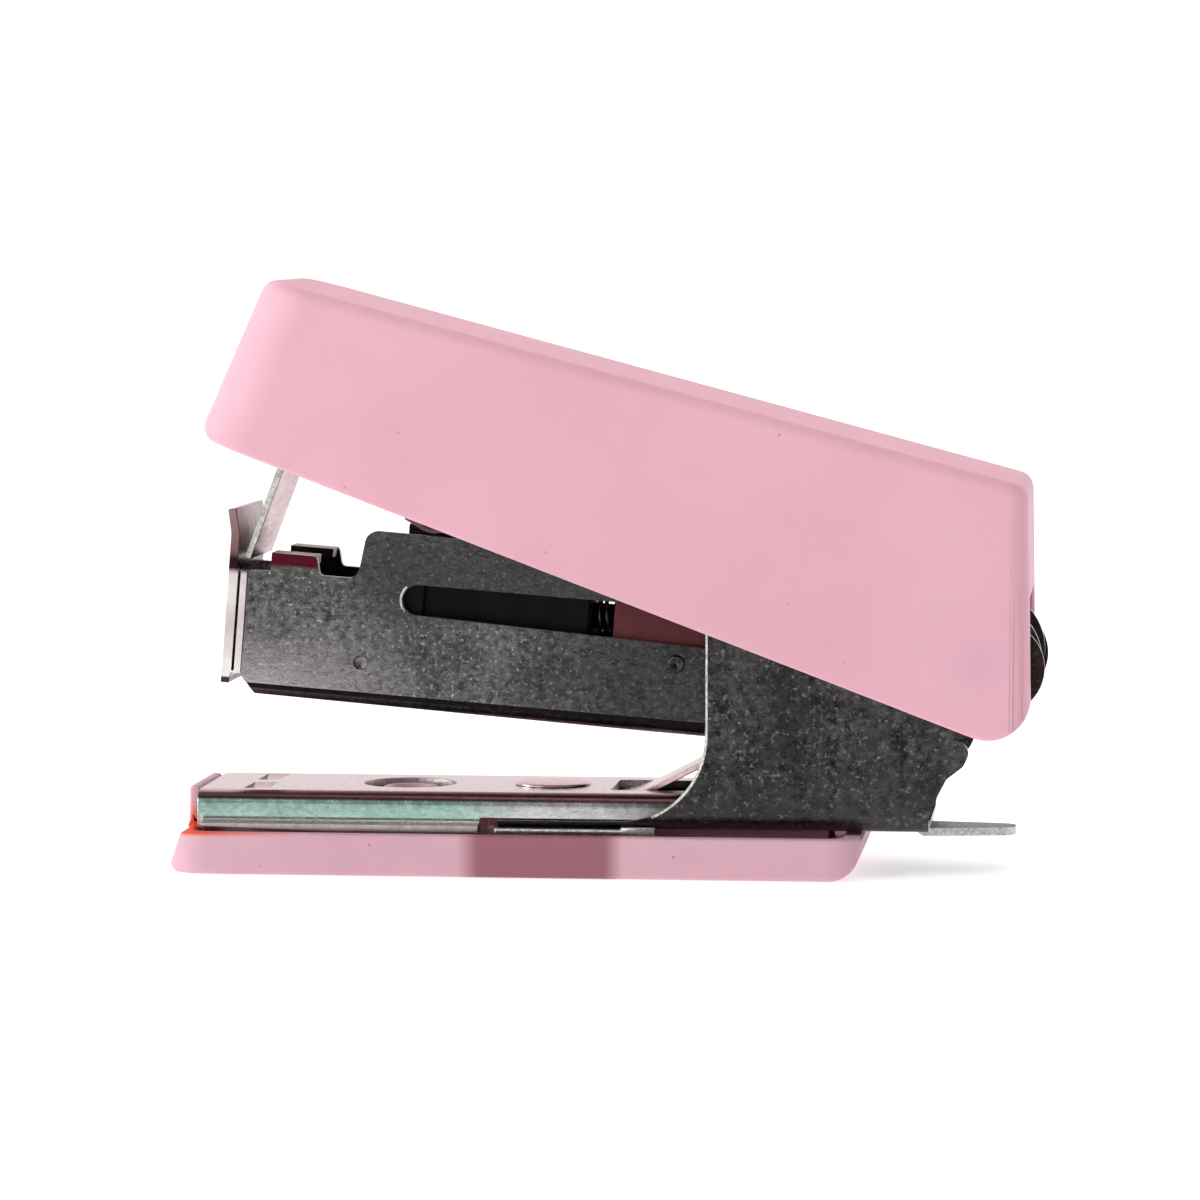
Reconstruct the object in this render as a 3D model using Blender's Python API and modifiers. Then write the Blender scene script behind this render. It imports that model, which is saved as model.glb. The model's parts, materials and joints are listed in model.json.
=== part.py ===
"""A pocket stapler for No. 10 staples, as an assembly of its separate pieces.

The base (tray, anvil plate, steel frame) stands on the floor. The magazine and the handle turn on one
pin at the rear, and a plastic pusher slides along the magazine on its guide rod.

Lengths are in millimetres here and become metres where a mesh is made. +X is the rear (hinge) end,
+Z is up and Y runs across. The magazine and the handle are drawn in their own frames, with the pin's
axis as origin, x towards the rear and z away from the base. Each frame is an empty on the pin's axis.
"""
import bmesh
import bpy
from math import atan2, ceil, cos, pi, radians, sin, tan
from mathutils import Matrix, Vector

MM = 0.001                      # metres in a millimetre
ARC_STEP = radians(18)          # the coarsest step along a rounded corner
ROUND_SIDES = 24                # facets round a pin or a hole
MERGE = 0.000002                # metres: welds the loose caps of a converted curve
GAP = 0.1                       # air between two pieces that rest on each other

# The hinge that the magazine and the handle share.
PIVOT_X = 25.45
PIVOT_Z = 14.93
MAGAZINE_TILT = radians(4.5)    # nose up, at rest
HANDLE_TILT = radians(20.8)
PIN_RADIUS = 1.25
PIN_HOLE_RADIUS = 1.33
PIN_HALF_LENGTH = 8.6

# Base.
TRAY_FRONT = -30.7
TRAY_REAR = 17.45
TRAY_HALF_WIDTH = 9.2
TRAY_RIM = 2.85
TRAY_FLOOR = 1.6
TRAY_WALL = 1.3
LIP_FRONT = -29.7
LIP_TOP = 5.6
ANVIL_FRONT = -28.8
ANVIL_REAR = 14.7
ANVIL_TOP = 5.5
ANVIL_SHEET = 0.6
ANVIL_HALF_WIDTH = 6.1
FLANGE_HALF_WIDTH = 7.3
FLANGE_REAR = -9.0
FLANGE_BOTTOM = 2.8
WINDOW = (-0.2, 6.2)            # the anvil's window, from which the leaf spring rises
BOSS_X = -14.7                  # the tray's boss in the anvil's round hole
CLINCH_X = -24.9                # where the staple's legs land
LEAF_RIVET_X = -4.6
ANVIL_RIVET_X = 12.0
RIVET_RADIUS = 1.25
FRAME_FRONT = -7.75
FRAME_REAR = 21.9
FRAME_BOTTOM = 3.1
FRAME_SHEET = 0.55
FRAME_HALF_WIDTH = 6.75
EAR_FRONT = 6.63
EAR_ROUND = 4.5                 # radius of the ear about the pin
TONGUE_TIP = 27.8
TONGUE_HALF_WIDTH = 2.25
TONGUE_MIDDLE = 2.7             # height of the tongue's middle line
LEAF_SHEET = 0.4

# Magazine, in its own frame.
CHANNEL_FRONT = -51.0
CHANNEL_BOTTOM = -7.0
CHANNEL_HALF_WIDTH = 5.4
CHANNEL_SHEET = 0.6
SLOT_FRONT = -40.1
SLOT_TOP = 1.83
SLOT_BOTTOM = -0.3
FINGER_REAR = -25.6
TABS = (-49.45, -46.3)
FRONT_PLATE_OUTER = -52.4
FRONT_PLATE_SHEET = 0.6
STRIP_FRONT = -49.45
STRIP_REAR = -41.2
STAPLE_HALF_WIDTH = 4.65
STAPLE_CROWN = -1.1
STAPLE_WIRE = 0.5
ROD_Z = 0.35
ROD_RADIUS = 0.5
ROD_FRONT = -42.0
BRACKET_FRONT = -25.4
BRACKET_REAR = -6.1
BRACKET_TOP = 3.4
BRACKET_HALF_WIDTH = 4.7
BRACKET_SHEET = 0.5
BRACKET_RIVET = (-20.8, -2.05)
BRACKET_RIVET_RADIUS = 0.4
PUSHER_FRONT = -41.1
PUSHER_STEP = -38.7
PUSHER_REAR = -27.2
PUSHER_TOP = 2.1
SPIGOT_REAR = -25.2             # the pusher's spigot, inside the first turns of the spring
SPIGOT_RADIUS = 0.9
SPRING_MEAN_RADIUS = 1.15
SPRING_WIRE_RADIUS = 0.15
SPRING_TURNS = 26
SPRING_STEPS = 10               # straight runs in one turn

# Handle, in its own frame.
HANDLE_FRONT_TOP = (-55.25, 6.95)
HANDLE_FRONT_BOTTOM = (-55.9, -4.8)
HANDLE_HALF_WIDTH = 9.3
HANDLE_WALL = 1.3
HANDLE_EDGE_RADIUS = 0.9
HANDLE_FRONT_RADIUS = 3.8       # of the front corners, in plan
HANDLE_REAR_RADIUS = 1.5
HANDLE_BACK_REACH = 3.45        # how far the rear face stands behind the pin
HANDLE_BACK_TILT = radians(21.7)    # the rear face against the handle's own upright
ROOF_SLOPE = 0.1019             # rise of the roof towards the rear, per unit length
BOSS_INNER = 6.95               # where the hinge bosses end, next to the ears
DRIVER_PLATE_BOTTOM = 4.4
DRIVER_PLATE_SHEET = 0.6
DRIVER_HALF_WIDTH = 5.0
BLADE_X = -49.97
BLADE_TIP = -11.9
BLADE_SHEET = 0.45
BLADE_HALF_WIDTH = 4.5
BLADE_RIVET_X = -46.6
SCREW_FRONT_X = -38.0
SCREW_REAR_X = -14.0
SCREW_RADIUS = 0.7
HANDLE_SPRING_SHEET = 0.35
HANDLE_SPRING_HALF_WIDTH = 5.6


# ---------------------------------------------------------------- outlines

def arc_points(centre, radius, start, end):
    """Points along an arc, both ends included."""
    count = max(2, ceil(abs(end - start) / ARC_STEP))
    angles = [start + (end - start) * i / count for i in range(count + 1)]
    return [(centre[0] + radius * cos(a), centre[1] + radius * sin(a)) for a in angles]


def corner_points(before, here, after, radius):
    """A corner, or the arc that rounds it."""
    corner = Vector(here)
    if radius == 0:
        return [tuple(corner)]
    back = (Vector(before) - corner).normalized()
    ahead = (Vector(after) - corner).normalized()
    half = back.angle(ahead) / 2
    centre = corner + (back + ahead).normalized() * radius / sin(half)
    first = corner + back * radius / tan(half) - centre
    last = corner + ahead * radius / tan(half) - centre
    start = atan2(first.y, first.x)
    sweep = (atan2(last.y, last.x) - start + pi) % (2 * pi) - pi
    return arc_points(centre, radius, start, start + sweep)


def rounded(corners):
    """A closed outline through corners given as (a, b, radius)."""
    points = []
    for i, (a, b, radius) in enumerate(corners):
        before = corners[i - 1][:2]
        after = corners[(i + 1) % len(corners)][:2]
        points += corner_points(before, (a, b), after, radius)
    return points


def inset_loop(loop, distance):
    """A closed outline, given anticlockwise, moved inward by a distance."""
    moved = []
    for i, (x, y) in enumerate(loop):
        here = Vector((x, y))
        into = (here - Vector(loop[i - 1])).normalized()
        out = (Vector(loop[(i + 1) % len(loop)]) - here).normalized()
        along = (into + out).normalized()
        normal = Vector((-along.y, along.x))
        moved.append(tuple(here + normal * distance / along.dot(out)))
    return moved


def rectangle(low, high):
    return [(low[0], low[1]), (high[0], low[1]), (high[0], high[1]), (low[0], high[1])]


def circle(centre, radius, sides=ROUND_SIDES):
    turns = [2 * pi * i / sides for i in range(sides)]
    return [(centre[0] + radius * cos(t), centre[1] + radius * sin(t)) for t in turns]


def bent_path(corners):
    """An open path whose inner corners, given as (a, b, radius), are rounded."""
    points = [corners[0][:2]]
    for before, here, after in zip(corners, corners[1:], corners[2:]):
        points += corner_points(before[:2], here[:2], after[:2], here[2])
    return points + [corners[-1][:2]]


def sheet_outline(corners, thickness):
    """The closed outline of a bent sheet whose middle line follows the corners."""
    path = [Vector(p) for p in bent_path(corners)]
    left = []
    right = []
    for i, point in enumerate(path):
        into = (point - path[i - 1]).normalized() if i else None
        out = (path[i + 1] - point).normalized() if i + 1 < len(path) else None
        along = ((into or out) + (out or into)).normalized()
        normal = Vector((-along.y, along.x))
        stretch = thickness / 2 / max(0.5, along.dot(out or into))
        left.append(tuple(point + normal * stretch))
        right.append(tuple(point - normal * stretch))
    return left + right[::-1]


# ---------------------------------------------------------------- solids

PLANES = {
    # the outline's first and second axes, and the way it is extruded
    "XZ": Matrix(((1, 0, 0), (0, 0, -1), (0, 1, 0))),
    "XY": Matrix.Identity(3),
    "YZ": Matrix(((0, 0, 1), (1, 0, 0), (0, 1, 0))),
}


def make_collection(name):
    collection = bpy.data.collections.new(name)
    bpy.context.scene.collection.children.link(collection)
    return collection


def evaluated_mesh(thing):
    """The mesh of an object with its modifiers, or of a curve, welded and facing out."""
    bpy.context.view_layer.update()
    graph = bpy.context.evaluated_depsgraph_get()
    mesh = bpy.data.meshes.new_from_object(thing.evaluated_get(graph))
    work = bmesh.new()
    work.from_mesh(mesh)
    bmesh.ops.remove_doubles(work, verts=work.verts, dist=MERGE)
    bmesh.ops.dissolve_degenerate(work, edges=work.edges, dist=MERGE)
    bmesh.ops.recalc_face_normals(work, faces=work.faces)
    work.to_mesh(mesh)
    work.free()
    return mesh


def bake(thing):
    """Replaces an object by its finished mesh, in its own frame."""
    solid = bpy.data.objects.new(thing.name, evaluated_mesh(thing))
    solid.matrix_world = thing.matrix_world.copy()
    bpy.context.scene.collection.objects.link(solid)
    name = thing.name
    bpy.data.objects.remove(thing)
    solid.name = name
    solid.data.name = name
    return solid


def prism(name, loops, depth, plane="XZ", centre=0.0):
    """A flat outline, and any holes after it, extruded to a depth about a middle plane."""
    curve = bpy.data.curves.new(name, "CURVE")
    curve.dimensions = "2D"
    curve.fill_mode = "BOTH"
    curve.extrude = depth / 2 * MM
    for loop in loops:
        spline = curve.splines.new("POLY")
        spline.points.add(len(loop) - 1)
        for point, (a, b) in zip(spline.points, loop):
            point.co = (a * MM, b * MM, 0, 1)
        spline.use_cyclic_u = True
    flat = bpy.data.objects.new(name, curve)
    bpy.context.scene.collection.objects.link(flat)
    solid = bake(flat)
    turn = PLANES[plane]
    solid.data.transform(Matrix.Translation(turn @ Vector((0, 0, centre * MM))) @ turn.to_4x4())
    return solid


def block(name, low, high):
    """A box between two corners."""
    depth = high[1] - low[1]
    outline = rectangle((low[0], low[2]), (high[0], high[2]))
    return prism(name, [outline], depth, "XZ", -(low[1] + high[1]) / 2)


def bent_sheet(name, corners, thickness, width):
    """A strip bent along its length, as wide as given across Y."""
    return prism(name, [sheet_outline(corners, thickness)], width)


def turned(name, profile, place, axis="Z"):
    """A turned piece. The profile is (radius, height) from the top of its axis to the bottom."""
    mesh = bpy.data.meshes.new(name)
    points = [(r * MM, 0, h * MM) for r, h in profile]
    edges = [(i, i + 1) for i in range(len(points) - 1)]
    mesh.from_pydata(points, edges, [])
    piece = bpy.data.objects.new(name, mesh)
    bpy.context.scene.collection.objects.link(piece)
    screw = piece.modifiers.new("turn", "SCREW")
    screw.axis = "Z"
    screw.angle = 2 * pi
    screw.steps = ROUND_SIDES
    screw.render_steps = ROUND_SIDES
    screw.use_merge_vertices = True
    screw.merge_threshold = MERGE
    solid = bake(piece)
    turns = {"Z": Matrix.Identity(4), "X": Matrix.Rotation(pi / 2, 4, "Y"),
             "Y": Matrix.Rotation(-pi / 2, 4, "X")}
    spot = Vector(place) * MM
    solid.data.transform(Matrix.Translation(spot) @ turns[axis])
    return solid


def rod(name, radius, start, end, axis, place):
    """A plain round bar along an axis, between two heights on it."""
    profile = [(0, end), (radius, end), (radius, start), (0, start)]
    return turned(name, profile, place, axis)


def combine(target, tool, operation="DIFFERENCE"):
    """Cuts, joins or trims a solid with another, which is used up."""
    modifier = target.modifiers.new(operation.lower(), "BOOLEAN")
    modifier.operation = operation
    modifier.solver = "EXACT"
    modifier.object = tool
    solid = bake(target)
    bpy.data.objects.remove(tool)
    return solid


def soften(target, width, segments=2, angle=radians(40)):
    """Rounds the sharp edges of a solid."""
    bevel = target.modifiers.new("round", "BEVEL")
    bevel.width = width * MM
    bevel.segments = segments
    bevel.limit_method = "ANGLE"
    bevel.angle_limit = angle
    bevel.use_clamp_overlap = False
    return bake(target)


# ---------------------------------------------------------------- base

def base_tray():
    """Shallow plastic tray with a front lip, support ribs and the boss that holds the anvil."""
    side = rounded([
        (TRAY_FRONT, 0, 0.5), (TRAY_REAR - 0.25, 0, 2.0), (TRAY_REAR, TRAY_RIM, 0.3),
        (TRAY_FRONT + 1.15, TRAY_RIM, 0.3)])
    plan = rounded([
        (TRAY_FRONT, -TRAY_HALF_WIDTH, 3.0), (TRAY_REAR, -TRAY_HALF_WIDTH, 2.2),
        (TRAY_REAR, TRAY_HALF_WIDTH, 2.2), (TRAY_FRONT, TRAY_HALF_WIDTH, 3.0)])
    tray = prism("base_tray", [side], 2 * TRAY_HALF_WIDTH)
    tray = combine(tray, prism("trim", [plan], 12, "XY"), "INTERSECT")
    hollow_front = LIP_FRONT + 0.8
    hollow_rear = TRAY_REAR - TRAY_WALL
    hollow_side = TRAY_HALF_WIDTH - TRAY_WALL
    hollow = rounded([
        (hollow_front, -hollow_side, 1.5), (hollow_rear, -hollow_side, 1.2),
        (hollow_rear, hollow_side, 1.2), (hollow_front, hollow_side, 1.5)])
    tray = combine(tray, prism("hollow", [hollow], 4, "XY", TRAY_FLOOR + 2))
    lip = rounded([(LIP_FRONT, 1.2, 0), (hollow_front + 0.02, 1.2, 0),
                   (hollow_front + 0.02, LIP_TOP, 0.3), (LIP_FRONT, LIP_TOP, 0.3)])
    tray = combine(tray, prism("lip", [lip], 8.6), "UNION")
    for side_sign in (-1, 1):
        for near, far, front, rear, top in ((6.5, 7.1, -27, -10, FLANGE_BOTTOM - GAP),
                                            (3.0, 3.8, -6.5, 15, FRAME_BOTTOM - GAP)):
            low, high = sorted((side_sign * near, side_sign * far))
            rib = block("rib", (front, low, TRAY_FLOOR - 0.5), (rear, high, top))
            tray = combine(tray, rib, "UNION")
    boss = turned("boss", [(0, 4.9), (0.9, 4.9), (1.2, 5.25), (1.9, 5.25), (2.3, 4.9),
                           (2.5, 1.0), (0, 1.0)], (BOSS_X, 0, 0))
    return combine(tray, boss, "UNION")


def anvil_plate():
    """Inverted sheet channel with flanges at the front, two clinching grooves and a window."""
    half = ANVIL_SHEET / 2
    wall = ANVIL_HALF_WIDTH - half
    top = ANVIL_TOP - half
    flange = FLANGE_BOTTOM + half
    section = [(-FLANGE_HALF_WIDTH, flange, 0), (-wall - 0.15, flange, 0.6), (-wall, top, 0.7),
               (wall, top, 0.7), (wall + 0.15, flange, 0.6), (FLANGE_HALF_WIDTH, flange, 0)]
    length = ANVIL_REAR - ANVIL_FRONT
    middle = (ANVIL_REAR + ANVIL_FRONT) / 2
    plate = prism("anvil_plate", [sheet_outline(section, ANVIL_SHEET)], length, "YZ", middle)
    frame_top = FRAME_BOTTOM + FRAME_SHEET
    for front, bottom in ((FLANGE_REAR, frame_top + GAP), (0, frame_top + 0.7)):
        plate = combine(plate, block("trim", (front, -9, 0), (ANVIL_REAR + 1, 9, bottom)))
    for low, high in ((-9, -ANVIL_HALF_WIDTH - 0.1), (ANVIL_HALF_WIDTH + 0.1, 9)):
        plate = combine(plate, block("trim", (ANVIL_FRONT - 1, low, 2), (ANVIL_FRONT + 0.6, high, 4)))
    for place, radius in ((BOSS_X, 3.25), (LEAF_RIVET_X, RIVET_RADIUS + 0.08),
                          (ANVIL_RIVET_X, RIVET_RADIUS + 0.08)):
        plate = combine(plate, rod("hole", radius, 4, 7, "Z", (place, 0, 0)))
    plate = combine(plate, block("window", (WINDOW[0], -3.3, 4), (WINDOW[1], 3.3, 7)))
    groove_radius = 6.5
    groove_depth = 0.3
    for y in (-2.75, 2.75):
        height = ANVIL_TOP + groove_radius - groove_depth
        groove = rod("groove", groove_radius, -0.8, 0.8, "X", (CLINCH_X, y, height))
        plate = combine(plate, groove)
    return plate


def rear_frame():
    """Folded steel frame: floor, two ears that carry the pin, and the staple-lifting tongue."""
    half = FRAME_SHEET / 2
    wall = FRAME_HALF_WIDTH - half
    floor = FRAME_BOTTOM + half
    section = [(-wall, 24, 0), (-wall, floor, 0.9), (wall, floor, 0.9), (wall, 24, 0)]
    length = 40
    frame = prism("rear_frame", [sheet_outline(section, FRAME_SHEET)], length, "YZ", 12)
    top = FRAME_BOTTOM + FRAME_SHEET
    ear_round = arc_points((PIVOT_X, PIVOT_Z), EAR_ROUND, radians(-72), radians(90))
    rear = rounded([(FRAME_FRONT, 2, 0), (FRAME_REAR, 2, 0), (FRAME_REAR + 0.1, 4.0, 0),
                    (22.5, 5.5, 0.8), (23.2, 6.85, 0.5), (24.35, 7.75, 0.6), (25.3, 9.8, 0.8)])
    front = rounded([(ear_round[-1][0], ear_round[-1][1], 0), (EAR_FRONT, 18.0, 1.2),
                     (EAR_FRONT, top, 6.0), (FRAME_FRONT, top, 0)])
    side = rear + ear_round[:-1] + front
    frame = combine(frame, prism("side", [side], 30), "INTERSECT")
    frame = combine(frame, rod("hole", PIN_HOLE_RADIUS, -12, 12, "Y", (PIVOT_X, 0, PIVOT_Z)))
    for place in (LEAF_RIVET_X, ANVIL_RIVET_X):
        frame = combine(frame, rod("hole", RIVET_RADIUS + 0.08, 1, 5, "Z", (place, 0, 0)))
    root = FRAME_REAR - 2.4
    path = [(root, floor, 0), (FRAME_REAR - 1.3, floor, 0.5), (FRAME_REAR - 0.4, TONGUE_MIDDLE, 0.5),
            (TONGUE_TIP, TONGUE_MIDDLE, 0)]
    tongue = bent_sheet("tongue", path, FRAME_SHEET, 2 * TONGUE_HALF_WIDTH + 1)
    plan = rounded([(root, -TONGUE_HALF_WIDTH, 0), (FRAME_REAR, -TONGUE_HALF_WIDTH, 1.0),
                    (TONGUE_TIP, -1.2, 1.1), (TONGUE_TIP, 1.2, 1.1),
                    (FRAME_REAR, TONGUE_HALF_WIDTH, 1.0), (root, TONGUE_HALF_WIDTH, 0)])
    tongue = combine(tongue, prism("plan", [plan], 12, "XY"), "INTERSECT")
    return combine(frame, tongue, "UNION")


def leaf_spring():
    """Leaf clamped under the anvil that rises through its window and lifts the magazine."""
    middle = ANVIL_TOP - ANVIL_SHEET - GAP - LEAF_SHEET / 2
    path = [(-7.6, middle, 0), (2.2, middle, 8.0), (7.6, 8.95, 1.2), (9.4, 8.8, 0)]
    leaf = bent_sheet("leaf_spring", path, LEAF_SHEET, 6.0)
    hole = rod("hole", RIVET_RADIUS + 0.08, 4, 6, "Z", (LEAF_RIVET_X, 0, 0))
    return combine(leaf, hole)


def base_rivet(name, x, head_radius, head_height):
    """Rivet that clamps the anvil to the frame's floor."""
    underside = ANVIL_TOP + 0.04
    frame_under = FRAME_BOTTOM - 0.03
    foot = frame_under - 0.55
    profile = [(0, underside + head_height), (head_radius * 0.6, underside + head_height * 0.85),
               (head_radius, underside + 0.12), (head_radius, underside), (RIVET_RADIUS, underside),
               (RIVET_RADIUS, frame_under), (2.0, frame_under), (1.8, foot), (0, foot)]
    return turned(name, profile, (x, 0, 0))


def pivot_pin():
    end = PIN_HALF_LENGTH
    profile = [(0, end), (PIN_RADIUS - 0.2, end), (PIN_RADIUS, end - 0.2),
               (PIN_RADIUS, 0.2 - end), (PIN_RADIUS - 0.2, -end), (0, -end)]
    return turned("pivot_pin", profile, (PIVOT_X, 0, PIVOT_Z), "Y")


# ---------------------------------------------------------------- magazine

def channel_side():
    """The outline of the channel's walls, with the staple window open at its rear end."""
    slot_radius = (SLOT_TOP - SLOT_BOTTOM) / 2
    slot_centre = (SLOT_FRONT + slot_radius, (SLOT_TOP + SLOT_BOTTOM) / 2)
    front = rounded([(CHANNEL_FRONT + 1, CHANNEL_BOTTOM - 1, 0), (CHANNEL_FRONT + 1, CHANNEL_BOTTOM, 0),
                     (CHANNEL_FRONT, CHANNEL_BOTTOM + 1.2, 0.3), (CHANNEL_FRONT, 1.9, 0.2),
                     (TABS[0], 1.9, 0), (TABS[0], 3.2, 0), (TABS[1], 3.2, 0.3),
                     (TABS[1] + 0.3, 1.9, 0.2), (-43.35, 1.9, 0.8), (-42.9, 5.3, 0.9),
                     (FINGER_REAR, 5.2, 0.5), (FINGER_REAR, SLOT_TOP, 0.2),
                     (slot_centre[0], SLOT_TOP, 0)])
    slot = arc_points(slot_centre, slot_radius, radians(108), radians(252))
    rear_round = arc_points((0, 0), 4.2, radians(100), radians(-50))
    rear = rounded([(slot_centre[0], SLOT_BOTTOM, 0), (-9.0, SLOT_BOTTOM, 2.0),
                    (-5.0, 3.6, 2.0), (rear_round[0][0], rear_round[0][1], 0)])
    heel = rounded([(rear_round[-1][0], rear_round[-1][1], 0), (-3.0, CHANNEL_BOTTOM, 1.0),
                    (-6.0, CHANNEL_BOTTOM - 1, 0)])
    return front + slot + rear + rear_round[1:-1] + heel


def magazine_channel():
    """Open-topped steel channel that holds the staples, with in-turned tabs at the nose."""
    half = CHANNEL_SHEET / 2
    wall = CHANNEL_HALF_WIDTH - half
    floor = CHANNEL_BOTTOM + half
    section = [(-wall, 9, 0), (-wall, floor, 0.9), (wall, floor, 0.9), (wall, 9, 0)]
    channel = prism("magazine_channel", [sheet_outline(section, CHANNEL_SHEET)], 70, "YZ", -24)
    channel = combine(channel, prism("side", [channel_side()], 30), "INTERSECT")
    for low, high in ((-CHANNEL_HALF_WIDTH, -2.7), (2.7, CHANNEL_HALF_WIDTH)):
        tab = block("tab", (TABS[0], low, 2.6), (TABS[1] - 0.1, high, 3.2))
        channel = combine(channel, tab, "UNION")
    exit_slot = block("exit", (CHANNEL_FRONT - 1, -4.8, -8), (STRIP_FRONT + 0.15, 4.8, -5))
    channel = combine(channel, exit_slot)
    channel = combine(channel, rod("hole", PIN_HOLE_RADIUS, -9, 9, "Y", (0, 0, 0)))
    rivet_x, rivet_z = BRACKET_RIVET
    hole = rod("hole", BRACKET_RIVET_RADIUS + 0.07, -9, 9, "Y", (rivet_x, 0, rivet_z))
    return combine(channel, hole)


def front_plate():
    """Nose plate that the staples bear against, flared at its top to guide the blade."""
    middle = FRONT_PLATE_OUTER + FRONT_PLATE_SHEET / 2
    path = [(middle, -6.1, 0), (middle, 4.9, 2.0), (middle - 0.65, 6.4, 0)]
    plate = bent_sheet("front_plate", path, FRONT_PLATE_SHEET, 2 * CHANNEL_HALF_WIDTH)
    for low, high in ((-CHANNEL_HALF_WIDTH, -4.8), (4.8, CHANNEL_HALF_WIDTH)):
        cheek = block("cheek", (middle, low, -5.4), (CHANNEL_FRONT - 0.06, high, 1.8))
        plate = combine(plate, cheek, "UNION")
    return plate


def rear_bracket():
    """Inner cover that carries the guide rod and closes the rear of the magazine."""
    half = BRACKET_SHEET / 2
    wall = BRACKET_HALF_WIDTH - half
    top = BRACKET_TOP - half
    section = [(-wall, -4.9, 0), (-wall, top, 0.6), (wall, top, 0.6), (wall, -4.9, 0)]
    length = BRACKET_REAR - BRACKET_FRONT
    middle = (BRACKET_REAR + BRACKET_FRONT) / 2
    bracket = prism("rear_bracket", [sheet_outline(section, BRACKET_SHEET)], length, "YZ", middle)
    web = block("web", (BRACKET_REAR - 0.5, -wall, -2.5), (BRACKET_REAR, wall, top))
    bracket = combine(bracket, web, "UNION")
    bracket = combine(bracket, rod("hole", ROD_RADIUS + 0.08, -9, -4, "X", (0, 0, ROD_Z)))
    rivet_x, rivet_z = BRACKET_RIVET
    hole = rod("hole", BRACKET_RIVET_RADIUS + 0.07, -9, 9, "Y", (rivet_x, 0, rivet_z))
    return combine(bracket, hole)


def bracket_rivet(name, side):
    """Small rivet that fixes the bracket to one wall of the channel; side is -1 or 1."""
    head = CHANNEL_HALF_WIDTH + 0.05
    shank = BRACKET_RIVET_RADIUS
    profile = [(0, head + 0.12), (shank, head + 0.1), (shank + 0.2, head), (shank, head),
               (shank, 4.25), (0, 4.25)]
    rivet = turned(name, profile, (0, 0, 0), "Y")
    turn = Matrix.Rotation(0 if side > 0 else pi, 4, "X")
    spot = Vector((BRACKET_RIVET[0], 0, BRACKET_RIVET[1])) * MM
    rivet.data.transform(Matrix.Translation(spot) @ turn)
    return rivet


def guide_rod():
    front = ROD_FRONT
    rear = BRACKET_REAR + 0.05
    profile = [(0, rear + 0.7), (0.7, rear + 0.7), (1.0, rear + 0.4), (1.0, rear),
               (ROD_RADIUS, rear), (ROD_RADIUS, front + 0.3), (0.3, front), (0, front)]
    return turned("guide_rod", profile, (0, 0, ROD_Z), "X")


def staple_strip():
    """A part-used strip of staples, glued side by side."""
    half = STAPLE_WIRE / 2
    leg = STAPLE_HALF_WIDTH - half
    crown = STAPLE_CROWN - half
    foot = CHANNEL_BOTTOM + CHANNEL_SHEET + 0.3       # clear of the inner bend
    section = [(-leg, foot, 0), (-leg, crown, 0.35), (leg, crown, 0.35), (leg, foot, 0)]
    length = STRIP_REAR - STRIP_FRONT
    middle = (STRIP_REAR + STRIP_FRONT) / 2
    return prism("staple_strip", [sheet_outline(section, STAPLE_WIRE)], length, "YZ", middle)


def pusher():
    """Plastic block that the spring drives against the staples."""
    head = block("pusher", (PUSHER_FRONT, -4.6, -5.8), (PUSHER_STEP, 4.6, PUSHER_TOP))
    body = block("body", (PUSHER_STEP - 0.5, -4.05, -4.6), (PUSHER_REAR, 4.05, PUSHER_TOP))
    block_joined = soften(combine(head, body, "UNION"), 0.25)
    spigot = rod("spigot", SPIGOT_RADIUS, PUSHER_REAR - 0.5, SPIGOT_REAR, "X", (0, 0, ROD_Z))
    block_joined = combine(block_joined, spigot, "UNION")
    hole = rod("hole", ROD_RADIUS + 0.1, PUSHER_FRONT - 1, SPIGOT_REAR + 1, "X", (0, 0, ROD_Z))
    return combine(block_joined, hole)


def pusher_spring():
    """Compression spring round the guide rod."""
    start = PUSHER_REAR + GAP + SPRING_WIRE_RADIUS
    end = BRACKET_REAR - 0.5 - GAP - SPRING_WIRE_RADIUS
    steps = SPRING_TURNS * SPRING_STEPS
    curve = bpy.data.curves.new("pusher_spring", "CURVE")
    curve.dimensions = "3D"
    curve.bevel_depth = SPRING_WIRE_RADIUS * MM
    curve.bevel_resolution = 1
    curve.use_fill_caps = True
    spline = curve.splines.new("POLY")
    spline.points.add(steps)
    for i, point in enumerate(spline.points):
        share = i / steps
        turn = 2 * pi * SPRING_TURNS * share
        x = start + (end - start) * share
        y = SPRING_MEAN_RADIUS * cos(turn)
        z = ROD_Z + SPRING_MEAN_RADIUS * sin(turn)
        point.co = (x * MM, y * MM, z * MM, 1)
    wire = bpy.data.objects.new("pusher_spring", curve)
    bpy.context.scene.collection.objects.link(wire)
    return bake(wire)


# ---------------------------------------------------------------- handle

def roof_height(x):
    """Height of the handle's outer roof above the pin, at x."""
    return HANDLE_FRONT_TOP[1] + (x - HANDLE_FRONT_TOP[0]) * ROOF_SLOPE


def back_x(z, reach):
    """Where the rear face stands at height z; it is almost upright when the handle is at rest."""
    return (reach - z * sin(HANDLE_BACK_TILT)) / cos(HANDLE_BACK_TILT)


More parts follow.
